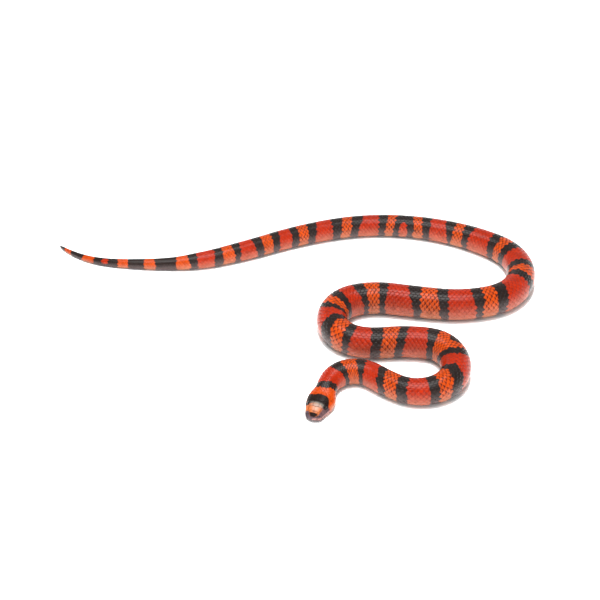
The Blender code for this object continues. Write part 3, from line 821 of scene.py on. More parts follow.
@dataclass
class Skin:
    """The one skin from the snout to the tail's tip, under all the scales."""

    surface: Surface
    markings: Markings
    inset: float = 0.3
    columns: int = 96
    head_step: float = 0.5
    body_step: float = 1.6
    head_reach: float = 34.0
    snout_reach: float = 3.0
    snout_rings: int = 16
    # Painted shade in the seams: how dark the skin is made against the scales, on the head and on the body,
    # and the lengths where one gives way to the other
    shade_on_head: float = 0.72
    shade_on_body: float = 0.5
    shade_changes: tuple[float, float] = (24.0, 30.0)

    def build(self, finish: bpy.types.Material, nodes: Sequence[str]) -> bpy.types.Object:
        """Build the skin and let it stand for the solids of flesh.

        Args:
            finish: the skin's material.
            nodes: the solids that it replaces.

        Returns:
            The skin's object.
        """
        total = self.surface.sizes.total
        nose = self.snout_reach * np.linspace(0.08, 1.0, self.snout_rings) ** 2
        head = np.arange(nose[-1] + self.head_step, self.head_reach, self.head_step)
        body = np.arange(self.head_reach, total - 1.0, self.body_step)
        rows = np.concatenate((nose, head, body))
        turns = np.arange(self.columns) * 2.0 / self.columns - 1.0
        s, turn = np.meshgrid(rows, turns, indexing="ij")
        grid = self.surface.at(s, turn, -self.inset)
        tip = self.surface.at(np.array([0.01]), np.array([0.0]))[0]
        tip[2] = self.surface.sizes.snout_level
        end = grid[-1].mean(axis=0)
        points = np.concatenate((grid.reshape(-1, 3), tip[None], end[None]))
        colours = self._colours(s, turn).reshape(-1, 3)
        colours = np.concatenate((colours, colours[:1], colours[-1:]))
        return self._mesh(points, colours, rows, finish, nodes)

    def _colours(self, s: np.ndarray, turn: np.ndarray) -> np.ndarray:
        """The markings, darkened as painted shade because the skin shows only in the seams between the
        scales.

        Args:
            s: lengths from the snout.
            turn: turns round the body.

        Returns:
            Linear colours, one row each.
        """
        body = self.markings.plain(self.markings.ground(s, turn), turn)
        head = self.markings.head(s, turn)
        return mixed(self.shade_on_head * head, self.shade_on_body * body, fade(s, *self.shade_changes))

    def _mesh(self, points: np.ndarray, colours: np.ndarray, rows: np.ndarray,
              finish: bpy.types.Material, nodes: Sequence[str]) -> bpy.types.Object:
        """Join the rings into a closed skin with an even flat map.

        Args:
            points: all rings, then the snout's tip and the tail's end.
            colours: one for each point.
            rows: the rings' lengths from the snout.
            finish: the skin's material.
            nodes: the solids that the skin replaces.

        Returns:
            The skin's object.
        """
        count = self.columns
        i, j = grid_of(len(rows) - 1, count)
        quads = ring_quads(len(rows), count)
        ring = np.arange(count)
        last = (len(rows) - 1) * count
        fans = np.concatenate((ring_fan(0, count, len(points) - 2)[:, [1, 0, 2]],
                               ring_fan(last, count, len(points) - 1)))
        along = rows / self.surface.sizes.total
        u0, u1 = j / count, (j + 1) / count
        flat_quads = np.stack((u0, along[i], u1, along[i], u1, along[i + 1], u0, along[i + 1]), axis=1)
        a0, a1 = ring / count, (ring + 1) / count
        low, high = np.full(count, along[0]), np.full(count, along[-1])
        flat_fans = np.concatenate((
            np.stack((a1, low, a0, low, 0.5 * (a0 + a1), low * 0), axis=1),
            np.stack((a0, high, a1, high, 0.5 * (a0 + a1), high * 0 + 1), axis=1),
        ))
        flat = np.concatenate((flat_quads.reshape(-1, 2), flat_fans.reshape(-1, 2)))
        made = MeshParts(points, [quads, fans], colours, flat).build("snake_skin", finish, "scarlet_skin")
        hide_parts(*nodes)
        return made


@dataclass
class ScaleShape:
    """One scale as a thin plate, in units of the pitch along and the row's width across."""

    base: float = -0.78
    widest: float = -0.02
    tip: float = 0.60
    half_width: float = 0.80
    root_height: float = -0.10
    tip_height: float = 0.21
    crown: float = 0.09
    thickness: float = 0.16
    along: int = 9
    across: int = 5
    bunched: float = 1.35
    tip_powers: tuple[float, float] = (1.8, 0.62)
    root_narrows: tuple[float, float] = (0.55, 1.6)
    narrowest: float = 0.07
    crown_power: float = 2.2
    crown_sinks: float = 0.7
    sides_ahead: float = 0.10

    def grid(self) -> tuple[np.ndarray, np.ndarray, np.ndarray]:
        """The plate's upper face.

        Returns:
            Places along, places across and heights, each as a grid.
        """
        steps = np.linspace(0.0, 1.0, self.along)
        a = self.base + (self.tip - self.base) * (1 - (1 - steps) ** self.bunched)
        behind = np.clip((a - self.widest) / (self.tip - self.widest), 0.0, 1.0)
        ahead = np.clip((self.widest - a) / (self.widest - self.base), 0.0, 1.0)
        inner, outer = self.tip_powers
        share, power = self.root_narrows
        half = self.half_width * (1 - behind ** inner) ** outer * (1 - share * ahead ** power)
        half = np.maximum(half, self.narrowest)
        b = np.linspace(-1.0, 1.0, self.across)
        rise = (a - self.base) / (self.tip - self.base)
        height = self.root_height + (self.tip_height - self.root_height) * rise[:, None]
        bow = 1 - np.abs(b)[None, :] ** self.crown_power
        height = height + self.crown * bow * (1 - self.crown_sinks * behind[:, None] ** 3)
        along = np.repeat(a[:, None], self.across, axis=1)
        pull = self.sides_ahead * np.abs(b)[None, :] ** 2 * behind[:, None]
        return along - pull, half[:, None] * b[None, :], height


@dataclass(frozen=True)
class PlateGrid:
    """A thin solid plate: a grid of points on top, and its edge once more underneath."""

    along: int
    across: int

    def rim(self) -> np.ndarray:
        """The places of the plate's edge in its grid, in order round it.

        Returns:
            Indices of the grid's points.
        """
        n, m = self.along, self.across
        near = list(range(m))
        right = [i * m + m - 1 for i in range(1, n)]
        far = [(n - 1) * m + j for j in range(m - 2, -1, -1)]
        left = [i * m for i in range(n - 2, 0, -1)]
        return np.array(near + right + far + left)

    def faces(self) -> list[np.ndarray]:
        """The faces of one plate.

        Returns:
            Its top's faces, its edge's faces and its underside.
        """
        m, rim = self.across, self.rim()
        i, j = grid_of(self.along - 1, m - 1)
        top = np.stack((i * m + j, i * m + j + 1, (i + 1) * m + j + 1, (i + 1) * m + j), axis=1)[:, ::-1]
        under = self.along * m + np.arange(len(rim))
        edge = np.stack((rim, np.roll(rim, -1), np.roll(under, -1), under), axis=1)
        return [top, edge, under[None, :]]

    def laid(self, surface: Surface, s: np.ndarray, turn: np.ndarray, lift: np.ndarray,
             thick: np.ndarray, colours: np.ndarray, flat: np.ndarray) -> MeshParts:
        """Plates laid on the snake, none of them under the floor.

        Args:
            surface: the snake's form.
            s: the length from the snout of each grid point, a row for each plate.
            turn: their turns.
            lift: their heights over the form.
            thick: each plate's thickness.
            colours: the grid points' colours.
            flat: the grid points' flat coordinates.

        Returns:
            The plates' mesh lists.
        """
        rim = self.rim()
        tops = surface.at(s, turn, lift)
        unders = surface.at(s[:, rim], turn[:, rim], lift[:, rim] - thick)
        points = np.concatenate((tops, unders), axis=1).reshape(-1, 3)
        points[:, 2] = np.maximum(points[:, 2], FLOOR_GAP)
        shift = np.arange(len(s))[:, None, None] * (self.along * self.across + len(rim))
        faces = [(part[None, :, :] + shift).reshape(-1, part.shape[1]) for part in self.faces()]
        colours, flat = (np.concatenate((each, each[:, rim]), axis=1).reshape(-1, each.shape[2])
                         for each in (colours, flat))
        return MeshParts(points, faces, colours, flat)


@dataclass
class ScaleCoat:
    """The scales of the back and sides, each a solid plate over the skin."""

    surface: Surface
    markings: Markings
    shape: ScaleShape
    seed: int = 7
    draws: int = 5
    ragged: float = 0.32
    split: float = 0.45
    inset: float = 0.26
    patch: float = 0.003
    full_row: float = 2.95
    most_rows: int = 14
    table_step: float = 0.25
    tail_gap: float = 1.6
    halves: tuple[tuple[str, float, float], ...] = (("front", 0.0, 480.0), ("back", 480.0, 1100.0))
    vary_place: float = 0.02
    vary_height: float = 0.08
    vary_tip: float = 0.06
    vary_tone: float = 0.07
    tip_reach: float = 0.40
    tip_full: float = 0.55
    tip_bow: float = 0.16
    pitch_curve: Pairs = (
        (0, 2.3), (30, 2.6), (60, 3.1), (150, 3.8), (300, 4.15), (550, 4.15), (750, 3.8), (900, 3.2),
        (950, 2.7), (1010, 2.2), (1076, 1.5),
    )
    row_curve: Pairs = (
        (0, 1.7), (25, 1.85), (34, 1.95), (60, 2.25), (176, 2.62), (286, 2.78), (376, 2.95),
        (506, 2.85), (576, 2.75), (696, 2.5), (796, 2.42), (876, 2.32), (921, 2.15), (951, 1.95),
        (991, 1.75), (1041, 1.4), (1076, 0.95),
    )
    belly_share: Pairs = (
        (20, 1.0), (27, 0.98), (34, 0.74), (60, 0.71), (900, 0.71), (940, 0.66), (1076, 0.64),
    )

    def __post_init__(self) -> None:
        """Set up the curves and the count of stations along the body."""
        self.pitch = through(self.pitch_curve)
        self.row = through(self.row_curve)
        self.belly = through(self.belly_share)
        step = self.table_step
        self.long = np.arange(0.0, self.surface.sizes.total, step)
        self.phase = np.concatenate(([0.0], np.cumsum(step / self.pitch(self.long[:-1] + 0.5 * step))))

    def place(self, station: np.ndarray, row: np.ndarray) -> tuple[np.ndarray, np.ndarray]:
        """Lengths and turns of places given in stations along and rows across."""
        s = np.interp(station, self.phase, self.long)
        return s, row * self.row(s) / self.surface.girth_at(s)

    def _roots(self) -> tuple[np.ndarray, np.ndarray]:
        """The places of all scales, those among the head's shields left out.

        Returns:
            Their stations and their rows.
        """
        stations, rows = [], []
        for row in range(-self.most_rows, self.most_rows + 1):
            station = np.arange(int(self.phase[-1])) + 0.5 * (row % 2)
            s, turn = self.place(station, np.full(len(station), float(row)))
            on_back = np.abs(turn) < self.belly(s)
            behind_head = s > HeadShields.reach(np.abs(turn))
            keep = on_back & behind_head & (s < self.surface.sizes.total - self.tail_gap)
            stations.append(station[keep])
            rows.append(np.full(int(keep.sum()), float(row)))
        return np.concatenate(stations), np.concatenate(rows)

    def build(self, finishes: dict[Ground, bpy.types.Material]) -> list[bpy.types.Object]:
        """Build the scales, a piece for each ground and half of the body.

        Args:
            finishes: the material of each ground's scales.

        Returns:
            The pieces.
        """
        station, row = self._roots()
        draw = np.random.default_rng(self.seed)
        s, turn = self.place(station, row)
        jitter = draw.normal(0.0, 1.0, (len(s), self.draws))
        ground = self.markings.ground(s + self.ragged * jitter[:, 4], turn)
        made = []
        for kind in Ground:
            for half, start, end in self.halves:
                chosen = (ground == kind.value) & (s >= start) & (s < end)
                parts = self._plates(station[chosen], row[chosen], jitter[chosen])
                made.append(parts.build(f"{kind.name.lower()}_scales_{half}", finishes[kind], kind.slot))
        return made

    def _plates(self, station: np.ndarray, row: np.ndarray, jitter: np.ndarray) -> MeshParts:
        """All plates of one piece.

        Args:
            station: each scale's station.
            row: each scale's row.
            jitter: five small random numbers for each scale.

        Returns:
            The piece's mesh lists.
        """
        shape = self.shape
        a, b, height = shape.grid()
        s0, turn0 = self.place(station, row)
        size = (self.row(s0) / self.full_row)[:, None]
        where = station[:, None] + a.ravel()[None, :] * (1 + self.vary_place * jitter[:, :1])
        aside = row[:, None] + b.ravel()[None, :] * (1 + self.vary_place * jitter[:, 1:2])
        lift = height.ravel()[None, :] * size * (1 + self.vary_height * jitter[:, 2:3]) - self.inset
        s, turn = self.place(where, aside)
        centre = (s0 + self.ragged * jitter[:, 4])[:, None]
        ground = self.markings.ground(centre + self.split * (s - s0[:, None]), turn)
        colours = self._colours(ground, s0, turn0, a.ravel(), b.ravel(), jitter)
        flat = self._flat(s0, turn0, a.ravel(), b.ravel())
        plate = PlateGrid(shape.along, shape.across)
        return plate.laid(self.surface, s, turn, lift, shape.thickness * size, colours, flat)

    def _colours(self, ground: np.ndarray, s: np.ndarray, turn: np.ndarray, a: np.ndarray,
                 b: np.ndarray, jitter: np.ndarray) -> np.ndarray:
        """The colour at each point of each scale, dark at the tips of those on the back.

        Args:
            ground: Ground values, a row for each scale.
            s: each scale's length from the snout.
            turn: each scale's turn.
            a: the places of a scale's points along it.
            b: their places across it.
            jitter: five small random numbers for each scale.

        Returns:
            Linear colours by scale and point.
        """
        plain = self.markings.plain(ground, turn[:, None])
        tip = self.markings.tip(ground)
        strength = self.markings.tip_strength(ground, s[:, None], turn[:, None])
        reach = (self.tip_reach + self.vary_tip * jitter[:, 3])[:, None]
        across = np.abs(b) / self.shape.half_width
        behind = fade(a[None, :] + self.tip_bow * across[None, :] ** 2, self.shape.tip - reach,
                      self.shape.tip - self.tip_full * reach)
        tone = 1 + self.vary_tone * jitter[:, 0][:, None, None]
        share = (behind * strength)[:, :, None]
        return np.clip((plain * (1 - share) + tip * share) * tone, 0.0, 1.0)

    def _flat(self, s: np.ndarray, turn: np.ndarray, a: np.ndarray, b: np.ndarray) -> np.ndarray:
        """Each scale as a small patch at its root's place on the skin's own unwrap.

        Args:
            s: each scale's length from the snout.
            turn: each scale's turn.
            a: the places of a scale's points along it.
            b: their places across it.

        Returns:
            Flat coordinates by scale and point.
        """
        shape = self.shape
        along = s / self.surface.sizes.total
        around = 0.5 + 0.5 * wrapped(turn)
        v = ((a - shape.base) / (shape.tip - shape.base) - 0.5) * self.patch
        u = 0.5 * b / shape.half_width * self.patch
        return np.stack((around[:, None] + u[None, :], along[:, None] + v[None, :]), axis=2)


@dataclass
class BellyScutes:
    """The wide plates across the belly and the pairs under the tail."""

    surface: Surface
    markings: Markings
    coat: ScaleCoat
    inset: float = 0.24
    along: int = 5
    across: int = 15
    first: float = 28.0
    front: float = -0.35
    back: float = 0.62
    bow: float = 0.16
    side_lap: float = 0.55
    pair_lap: float = 0.03
    root_height: float = -0.08
    rise: float = 0.24
    thickness: float = 0.18
    patch_share: float = 0.8

    def build(self, finish: bpy.types.Material) -> bpy.types.Object:
        """Build all scutes as one piece, whole plates on the belly and pairs behind the vent.

        Args:
            finish: their material.

        Returns:
            The piece.
        """
        coat = self.coat
        first, vent = (np.interp(s, coat.long, coat.phase) for s in (self.first, self.surface.sizes.vent))
        stations = np.arange(np.ceil(first), int(coat.phase[-1]) - 1)
        tail = stations[stations > vent]
        sets = [self._plates(stations[stations <= vent], -1.0, 1.0),
                self._plates(tail, -1.0, self.pair_lap), self._plates(tail, -self.pair_lap, 1.0)]
        before = np.cumsum([0] + [len(each.points) for each in sets])
        faces = [part + start for each, start in zip(sets, before) for part in each.faces]
        points, colours, flat = (np.concatenate([getattr(each, name) for each in sets])
                                 for name in ("points", "colours", "flat"))
        return MeshParts(points, faces, colours, flat).build("belly_scutes", finish, Ground.RED.slot)

    def _plates(self, stations: np.ndarray, start: float, end: float) -> MeshParts:
        """One row of plates, from one share of the belly's width to another.

        Args:
            stations: the plates' places along the body.
            start: where they start, -1 at one side of the belly.
            end: where they end, 1 at the other side.

        Returns:
            The row's mesh lists.
        """
        coat = self.coat
        s0 = np.interp(stations, coat.phase, coat.long)
        a = np.linspace(self.front, self.back, self.along)
        q = np.linspace(start, end, self.across)
        reach = 1.0 - coat.belly(s0) + self.side_lap * coat.row(s0) / self.surface.girth_at(s0)
        grid_a, grid_q = np.meshgrid(a, q, indexing="ij")
        bow = self.bow * (1 - grid_q ** 2)
        station = stations[:, None] + (grid_a - bow * 0.5).ravel()[None, :]
        s = np.interp(station, coat.phase, coat.long)
        turn = 1.0 + grid_q.ravel()[None, :] * reach[:, None]
        size = (coat.row(s0) / coat.full_row)[:, None]
        risen = ((grid_a - a[0]) / (a[-1] - a[0])).ravel()[None, :]
        lift = (self.root_height + self.rise * risen) * size - self.inset
        ground = self.markings.ground(np.repeat(s0[:, None], grid_a.size, axis=1), turn)
        colours = self.markings.plain(ground, turn)
        along = s0 / self.surface.sizes.total
        u = 0.5 + 0.48 * grid_q.ravel()[None, :] + 0 * along[:, None]
        v = along[:, None] + (risen - 0.5) * (self.patch_share * coat.patch)
        plate = PlateGrid(self.along, self.across)
        return plate.laid(self.surface, s, turn, lift, self.thickness * size, colours,
                          np.stack((u, v), axis=2))


@dataclass
class HeadShields:
    """The large plates on the snout, the top of the head, the cheeks and the lips."""

    # How far back the shields reach: turns and lengths
    REACH = (
        (0.0, 24.6), (0.10, 25.0), (0.17, 23.4), (0.22, 23.0), (0.26, 24.6), (0.60, 24.6),
        (0.72, 22.0), (0.85, 8.4), (1.0, 7.4),
    )

    surface: Surface
    markings: Markings
    raise_by: float = 0.13
    sink_by: float = 0.55
    seam: float = 0.09
    edge_step: float = 0.34
    on_top: tuple[Pairs, ...] = (
        ((2.5, 0.0), (4.6, 0.0), (4.9, 2.6), (4.2, 4.2), (2.5, 2.4)),
        ((4.6, 0.0), (8.6, 0.0), (9.2, 2.7), (9.4, 5.1), (6.9, 5.4), (4.4, 4.4), (4.9, 2.6)),
        ((9.4, 2.7), (9.4, 5.1), (10.8, 6.9), (14.5, 7.0), (15.4, 5.4), (14.8, 2.6)),
        ((16.1, 0.0), (15.0, 2.5), (15.8, 5.5), (18.4, 6.0), (22.0, 5.6), (25.3, 2.8), (24.8, 0.0)),
    )
    frontal: Pairs = (
        (8.6, 0.0), (9.3, 2.6), (14.7, 2.4), (16.0, 0.0), (14.7, -2.4), (9.3, -2.6),
    )
    # How far the plate over the snout's tip reaches, by degrees from the back
    rostral_reach: Pairs = (
        (0, 2.1), (45, 2.0), (65, 1.5), (85, 0.95), (110, 0.8), (180, 0.5),
    )
    upper_labials: tuple[float, ...] = (1.4, 4.4, 7.6, 10.7, 13.9, 17.2, 20.7, 24.6)
    lower_labials: tuple[float, ...] = (2.6, 5.0, 7.3, 9.9, 12.7, 15.8, 19.0, 22.2)
    lip_height: Pairs = (
        (2.0, 1.9), (5.0, 2.5), (9.0, 3.2), (12.6, 3.7), (17.0, 3.8), (24.0, 3.8),
    )
    lower_lip_height: float = 1.5
    mouth_half: float = 0.13
    top_edge: Pairs = (
        (2.2, 2.8), (4.3, 4.3), (6.9, 5.4), (9.4, 5.2), (10.8, 6.9), (14.5, 7.0), (15.4, 5.5),
        (18.4, 6.0), (22.0, 5.6), (27.0, 5.0),
    )
    cheeks: tuple[tuple[float, float, float, float], ...] = (
        (2.2, 5.6, 0.0, 1.0), (5.6, 8.6, 0.1, 1.0), (8.6, 10.0, 0.1, 1.0), (15.1, 17.1, 0.0, 0.5),
        (15.1, 17.1, 0.5, 1.0), (17.1, 21.0, 0.0, 0.5), (17.1, 20.5, 0.5, 1.0),
        (21.0, 24.8, 0.0, 0.36), (21.0, 24.8, 0.36, 0.68), (20.5, 24.8, 0.68, 1.0),
    )
    # A plate's rings from rim to middle: share of its reach, seams kept clear and height
    plate_rings: tuple[Triple, ...] = (
        (1.0, 1.0, 0.0), (1.0, 1.9, 0.72), (1.0, 3.2, 1.0), (0.86, 3.2, 1.1), (0.72, 3.2, 1.16),
        (0.57, 3.2, 1.22), (0.42, 3.2, 1.26), (0.27, 3.2, 1.29), (0.13, 3.2, 1.3),
    )
    # The rings of the plate over the snout's tip: share of its reach, and height
    rostral_rings: Pairs = (
        (1.0, 0.0), (0.9, 0.8), (0.75, 1.0), (0.5, 1.1), (0.25, 1.2), (0.08, 1.2),
    )
    rostral_columns: int = 48
    rostral_root: float = 0.9
    # Shares of the colour on a plate's outer rings: painted shade, darkest at the sunk rim in the seams
    rim_shades: tuple[float, ...] = (0.62, 0.72, 0.92)
    flat_axis_at: float = 8.0
    flat_axis_level: float = 5.0
    flat_reach: float = 34.0

    @classmethod
    def reach(cls, turn: np.ndarray) -> np.ndarray:
        """How far back the shields reach at a turn, for scales to start behind them."""
        return np.interp(turn, *zip(*cls.REACH))

    def borders(self) -> list[list[tuple[float, float]]]:
        """The corners of every plate but the one over the snout's tip.

        Returns:
            Lengths and turns of each plate's corners, in order round it.
        """
        surface = self.surface
        level, lip_height, top_edge = surface.mouth_level, through(self.lip_height), through(self.top_edge)
        rows_of_lips = (
            (self.upper_labials, lip_height, lambda s: self.mouth_half),
            (self.lower_labials, lambda s: -self.mouth_half, lambda s: -self.lower_lip_height),
        )
        found = [[(s, surface.turn_across(s, x)) for s, x in self.frontal]]
        for side in (1, -1):
            for corners in self.on_top:
                found.append([(s, side * surface.turn_across(s, x)) for s, x in corners])
            for start, end, high, low in self.cheeks:
                corners = []
                for s, share in ((start, high), (end, high), (end, low), (start, low)):
                    top = surface.turn_across(s, float(top_edge(s)))
                    lip = surface.turn_at_level(s, float(level(s) + lip_height(s)))
                    corners.append((s, side * (top + (lip - top) * share)))
                found.append(corners)
            for stops, near, far in rows_of_lips:
                for start, end in zip(stops, stops[1:]):
                    found.append([(s, side * surface.turn_at_level(s, float(level(s) + height(s))))
                                  for s, height in ((start, near), (end, near), (end, far), (start, far))])
        return found

    def _plate(self, border: list[tuple[float, float]]) -> tuple[np.ndarray, np.ndarray, np.ndarray]:
        """One plate as rings from its sunk rim to its middle.

        Args:
            border: lengths and turns of its corners.

        Returns:
            Lengths, turns and heights, a row for each ring.
        """
        middle = np.mean(border, axis=0)
        arc = float(self.surface.girth_at(middle[0]))
        corners = [np.array((s, turn * arc)) for s, turn in border]
        edge = []
        for start, end in zip(corners, corners[1:] + corners[:1]):
            steps = max(2, round(float(np.hypot(*(end - start))) / self.edge_step))
            edge += [start + (end - start) * t / steps for t in range(steps)]
        edge = np.array(edge)
        for _ in range(2):
            edge = 0.5 * edge + 0.25 * (np.roll(edge, 1, axis=0) + np.roll(edge, -1, axis=0))
        centre = edge.mean(axis=0)
        spread = edge - centre
        reach = np.linalg.norm(spread, axis=1, keepdims=True)
        rings = []
        heights = [(share, inset, height * self.raise_by) for share, inset, height in self.plate_rings]
        for share, inset, out in [(1.0, 1.0, -self.sink_by)] + heights:
            keep = share * np.maximum(1 - inset * self.seam / reach, 0.2)
            place = centre + spread * keep
            rings.append((place[:, 0], place[:, 1] / arc, np.full(len(edge), out)))
        return tuple(np.array([ring[i] for ring in rings]) for i in range(3))

    def _rostral(self) -> tuple[np.ndarray, np.ndarray, np.ndarray]:
        """The plate over the snout's tip as rings from its sunk rim to its middle.

        Returns:
            Lengths, turns and heights, a row for each ring.
        """
        count = self.rostral_columns
        turns = (2 * np.arange(count) + 1) / count - 1.0
        far = through(self.rostral_reach)(np.abs(turns) * 180)
        rings = [(far * self.rostral_root, turns, np.full(count, -self.sink_by))]
        for share, height in self.rostral_rings:
            rings.append((far * share, turns, np.full(count, height * self.raise_by)))
        return tuple(np.array([ring[i] for ring in rings]) for i in range(3))

    def build(self, finish: bpy.types.Material) -> bpy.types.Object:
        """Build all shields as one piece.

        Args:
            finish: their material.

        Returns:
            The piece.
        """
        points, quads, fans, colours = [], [], [], []
        offset = 0
        for s, turn, out in [self._plate(border) for border in self.borders()] + [self._rostral()]:
            rings, around = s.shape
            grid = self.surface.at(s, turn, out).reshape(-1, 3)
            middle, root = (self.surface.at(s[i], turn[i], out[i]).mean(axis=0)[None] for i in (-1, 0))
            points += [grid, middle, root]
            shades = np.ones((rings, 1, 1))
            shades[:len(self.rim_shades), 0, 0] = self.rim_shades
            tint = (self.markings.head(s, turn) * shades).reshape(-1, 3)
            colours += [tint, tint[-1:], tint[:1]]
            count = rings * around
            quads.append(offset + ring_quads(rings, around))
            fans.append(offset + ring_fan(count - around, around, count))
            fans.append(offset + ring_fan(0, around, count + 1)[:, [1, 0, 2]])
            offset += count + 2
        points = np.concatenate(points)
        parts = MeshParts(points, [np.concatenate(quads), np.concatenate(fans)],
                          np.concatenate(colours), self._flat(points))
        made = parts.build("head_shields", finish, Ground.ORANGE.slot)
        faces_outwards(made)
        return made

    def _flat(self, points: np.ndarray) -> np.ndarray:
        """The head unrolled round an axis along it.

        Args:
            points: the shields' points.

        Returns:
            Flat coordinates, one row each.
        """
        along, left, _ = self.surface.axes(self.flat_axis_at)
        start = np.array((*self.surface.sizes.snout_at, 0.0))
        far = (points - start) @ np.array(along) / self.flat_reach
        aside = (points - start) @ np.array(left)
        around = np.arctan2(aside, points[:, 2] - self.flat_axis_level) / (2 * math.pi)
        return np.clip(np.stack((0.5 + 0.98 * around, 0.02 + 0.96 * far), axis=1), 0.0, 1.0)


@dataclass
class Eye:
    """A dark, wet-looking eye with the ring of skin round it."""

    surface: Surface
    side: int
    half_axes: Triple = (2.05, 2.05, 1.45)
    looks_forward: float = 12.0
    looks_up: float = 18.0
    pupil: float = 0.36
    pupil_soft: float = 0.05
    edge: tuple[float, float] = (0.62, 0.9)
    pupil_tint: Triple = (0.003, 0.0025, 0.0025)
    iris_tint: Triple = (0.018, 0.008, 0.005)
    edge_tint: Triple = (0.006, 0.005, 0.005)
    rings: int = 35
    around: int = 48
    rim_radius: float = 2.0
    rim_width: float = 0.22
    rim_height: float = 0.9
    rim_sides: int = 14

    @property
    def name(self) -> str:
        """The eye's own name, as the animal's left or right."""
        return "eye_left" if self.side < 0 else "eye_right"

    def matrix(self) -> Matrix:
        """Set the eye where its solid is, with its own +Z looking out.

        Returns:
            The way from the eye's own frame to the snake's, in millimetres.
        """
        along, left, up = self.surface.axes(self.surface.sizes.eye_along)
        forward, lift = math.radians(self.looks_forward), math.radians(self.looks_up)
        out = left * self.side * math.cos(forward) * math.cos(lift)
        out = (out - along * math.sin(forward) + up * math.sin(lift)).normalized()
        low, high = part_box(self.name)
        across = up.cross(out).normalized()
        turn = Matrix((across, out.cross(across), out)).transposed().to_4x4()
        return Matrix.Translation((low + high) * 0.5 / MM) @ turn

    def build(self, wet: bpy.types.Material, skin: bpy.types.Material, tints: Tints) -> None:
        """Build the ball and its rim, and let the ball stand for the eye's solid.

        Args:
            wet: the ball's material.
            skin: the rim's material.
            tints: the skin's base colours.
        """
        polar = np.linspace(0.0, math.pi, self.rings + 2)[1:-1]
        turn = np.arange(self.around) * 2 * math.pi / self.around
        p, t = np.meshgrid(polar, turn, indexing="ij")
        ball = np.stack((np.sin(p) * np.cos(t), np.sin(p) * np.sin(t), np.cos(p)), axis=2).reshape(-1, 3)
        ball = np.concatenate((ball, [(0, 0, 1)], [(0, 0, -1)])) * np.array(self.half_axes)
        share = np.concatenate((np.sin(p).ravel() + 2 * (np.cos(p).ravel() < 0), [0.0, 3.0]))
        colour = mixed(np.array(self.pupil_tint), np.array(self.iris_tint),
                       fade(share, self.pupil, self.pupil + self.pupil_soft))
        colour = mixed(colour, np.array(self.edge_tint), fade(share, *self.edge))
        count = self.rings * self.around
        faces = [ring_quads(self.rings, self.around),
                 ring_fan(0, self.around, count)[:, [1, 0, 2]],
                 ring_fan(count - self.around, self.around, count + 1)]
        made = self._placed(self.name + "_ball", ball, faces, colour, wet, "dark_eye")
        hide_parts(self.name)
        ring = self._rim_on_skin(turn).reshape(-1, 3)
        dark = np.repeat(tints.of("black")[None, :], len(ring), axis=0)
        faces = [ring_quads(self.rim_sides, self.around, closed=True)]
        self._placed(self.name + "_rim", ring, faces, dark, skin, Ground.BLACK.slot)

    def _rim_on_skin(self, turn: np.ndarray) -> np.ndarray:
        """The ring of skin round the eye, laid on the head's own form.

        Args:
            turn: angles round the eye.

        Returns:
            Its points in the eye's frame.
        """
        surface, sizes = self.surface, self.surface.sizes
        across = self.side * surface.turn_at_level(sizes.eye_along, sizes.eye_level)
        arc = float(surface.girth_at(sizes.eye_along))
        s = sizes.eye_along + self.rim_radius * np.cos(turn)
        around = across + self.rim_radius * np.sin(turn) / arc
        line = surface.at(s, around, 0.0)
        out = surface.at(s, around, 1.0) - line
        aside = line - line.mean(axis=0)
        aside /= np.linalg.norm(aside, axis=1, keepdims=True)
        tube = np.linspace(0.0, 2 * math.pi, self.rim_sides + 1)[:-1][:, None, None]
        ring = line + self.rim_width * (np.cos(tube) * aside + self.rim_height * np.sin(tube) * out)
        matrix = np.array(self.matrix())
        return (ring - matrix[:3, 3]) @ matrix[:3, :3]

    def _placed(self, name: str, points: np.ndarray, faces: list[np.ndarray], colour: np.ndarray,
                finish: bpy.types.Material, slot: str) -> bpy.types.Object:
        """Make a piece of the eye and place it on the head.

        Args:
            name: the piece's name.
            points: its points in the eye's frame.
            faces: its faces.
            colour: its points' colours.
            finish: its material.
            slot: the record's slot for it.

        Returns:
            The piece.
        """
        matrix = np.array(self.matrix())
        placed = points @ matrix[:3, :3].T + matrix[:3, 3]
        flat = 0.5 + 0.2 * points[:, :2] / self.half_axes[0]
        made = MeshParts(placed, faces, colour, flat).build(name, finish, slot)
        faces_outwards(made)
        return made


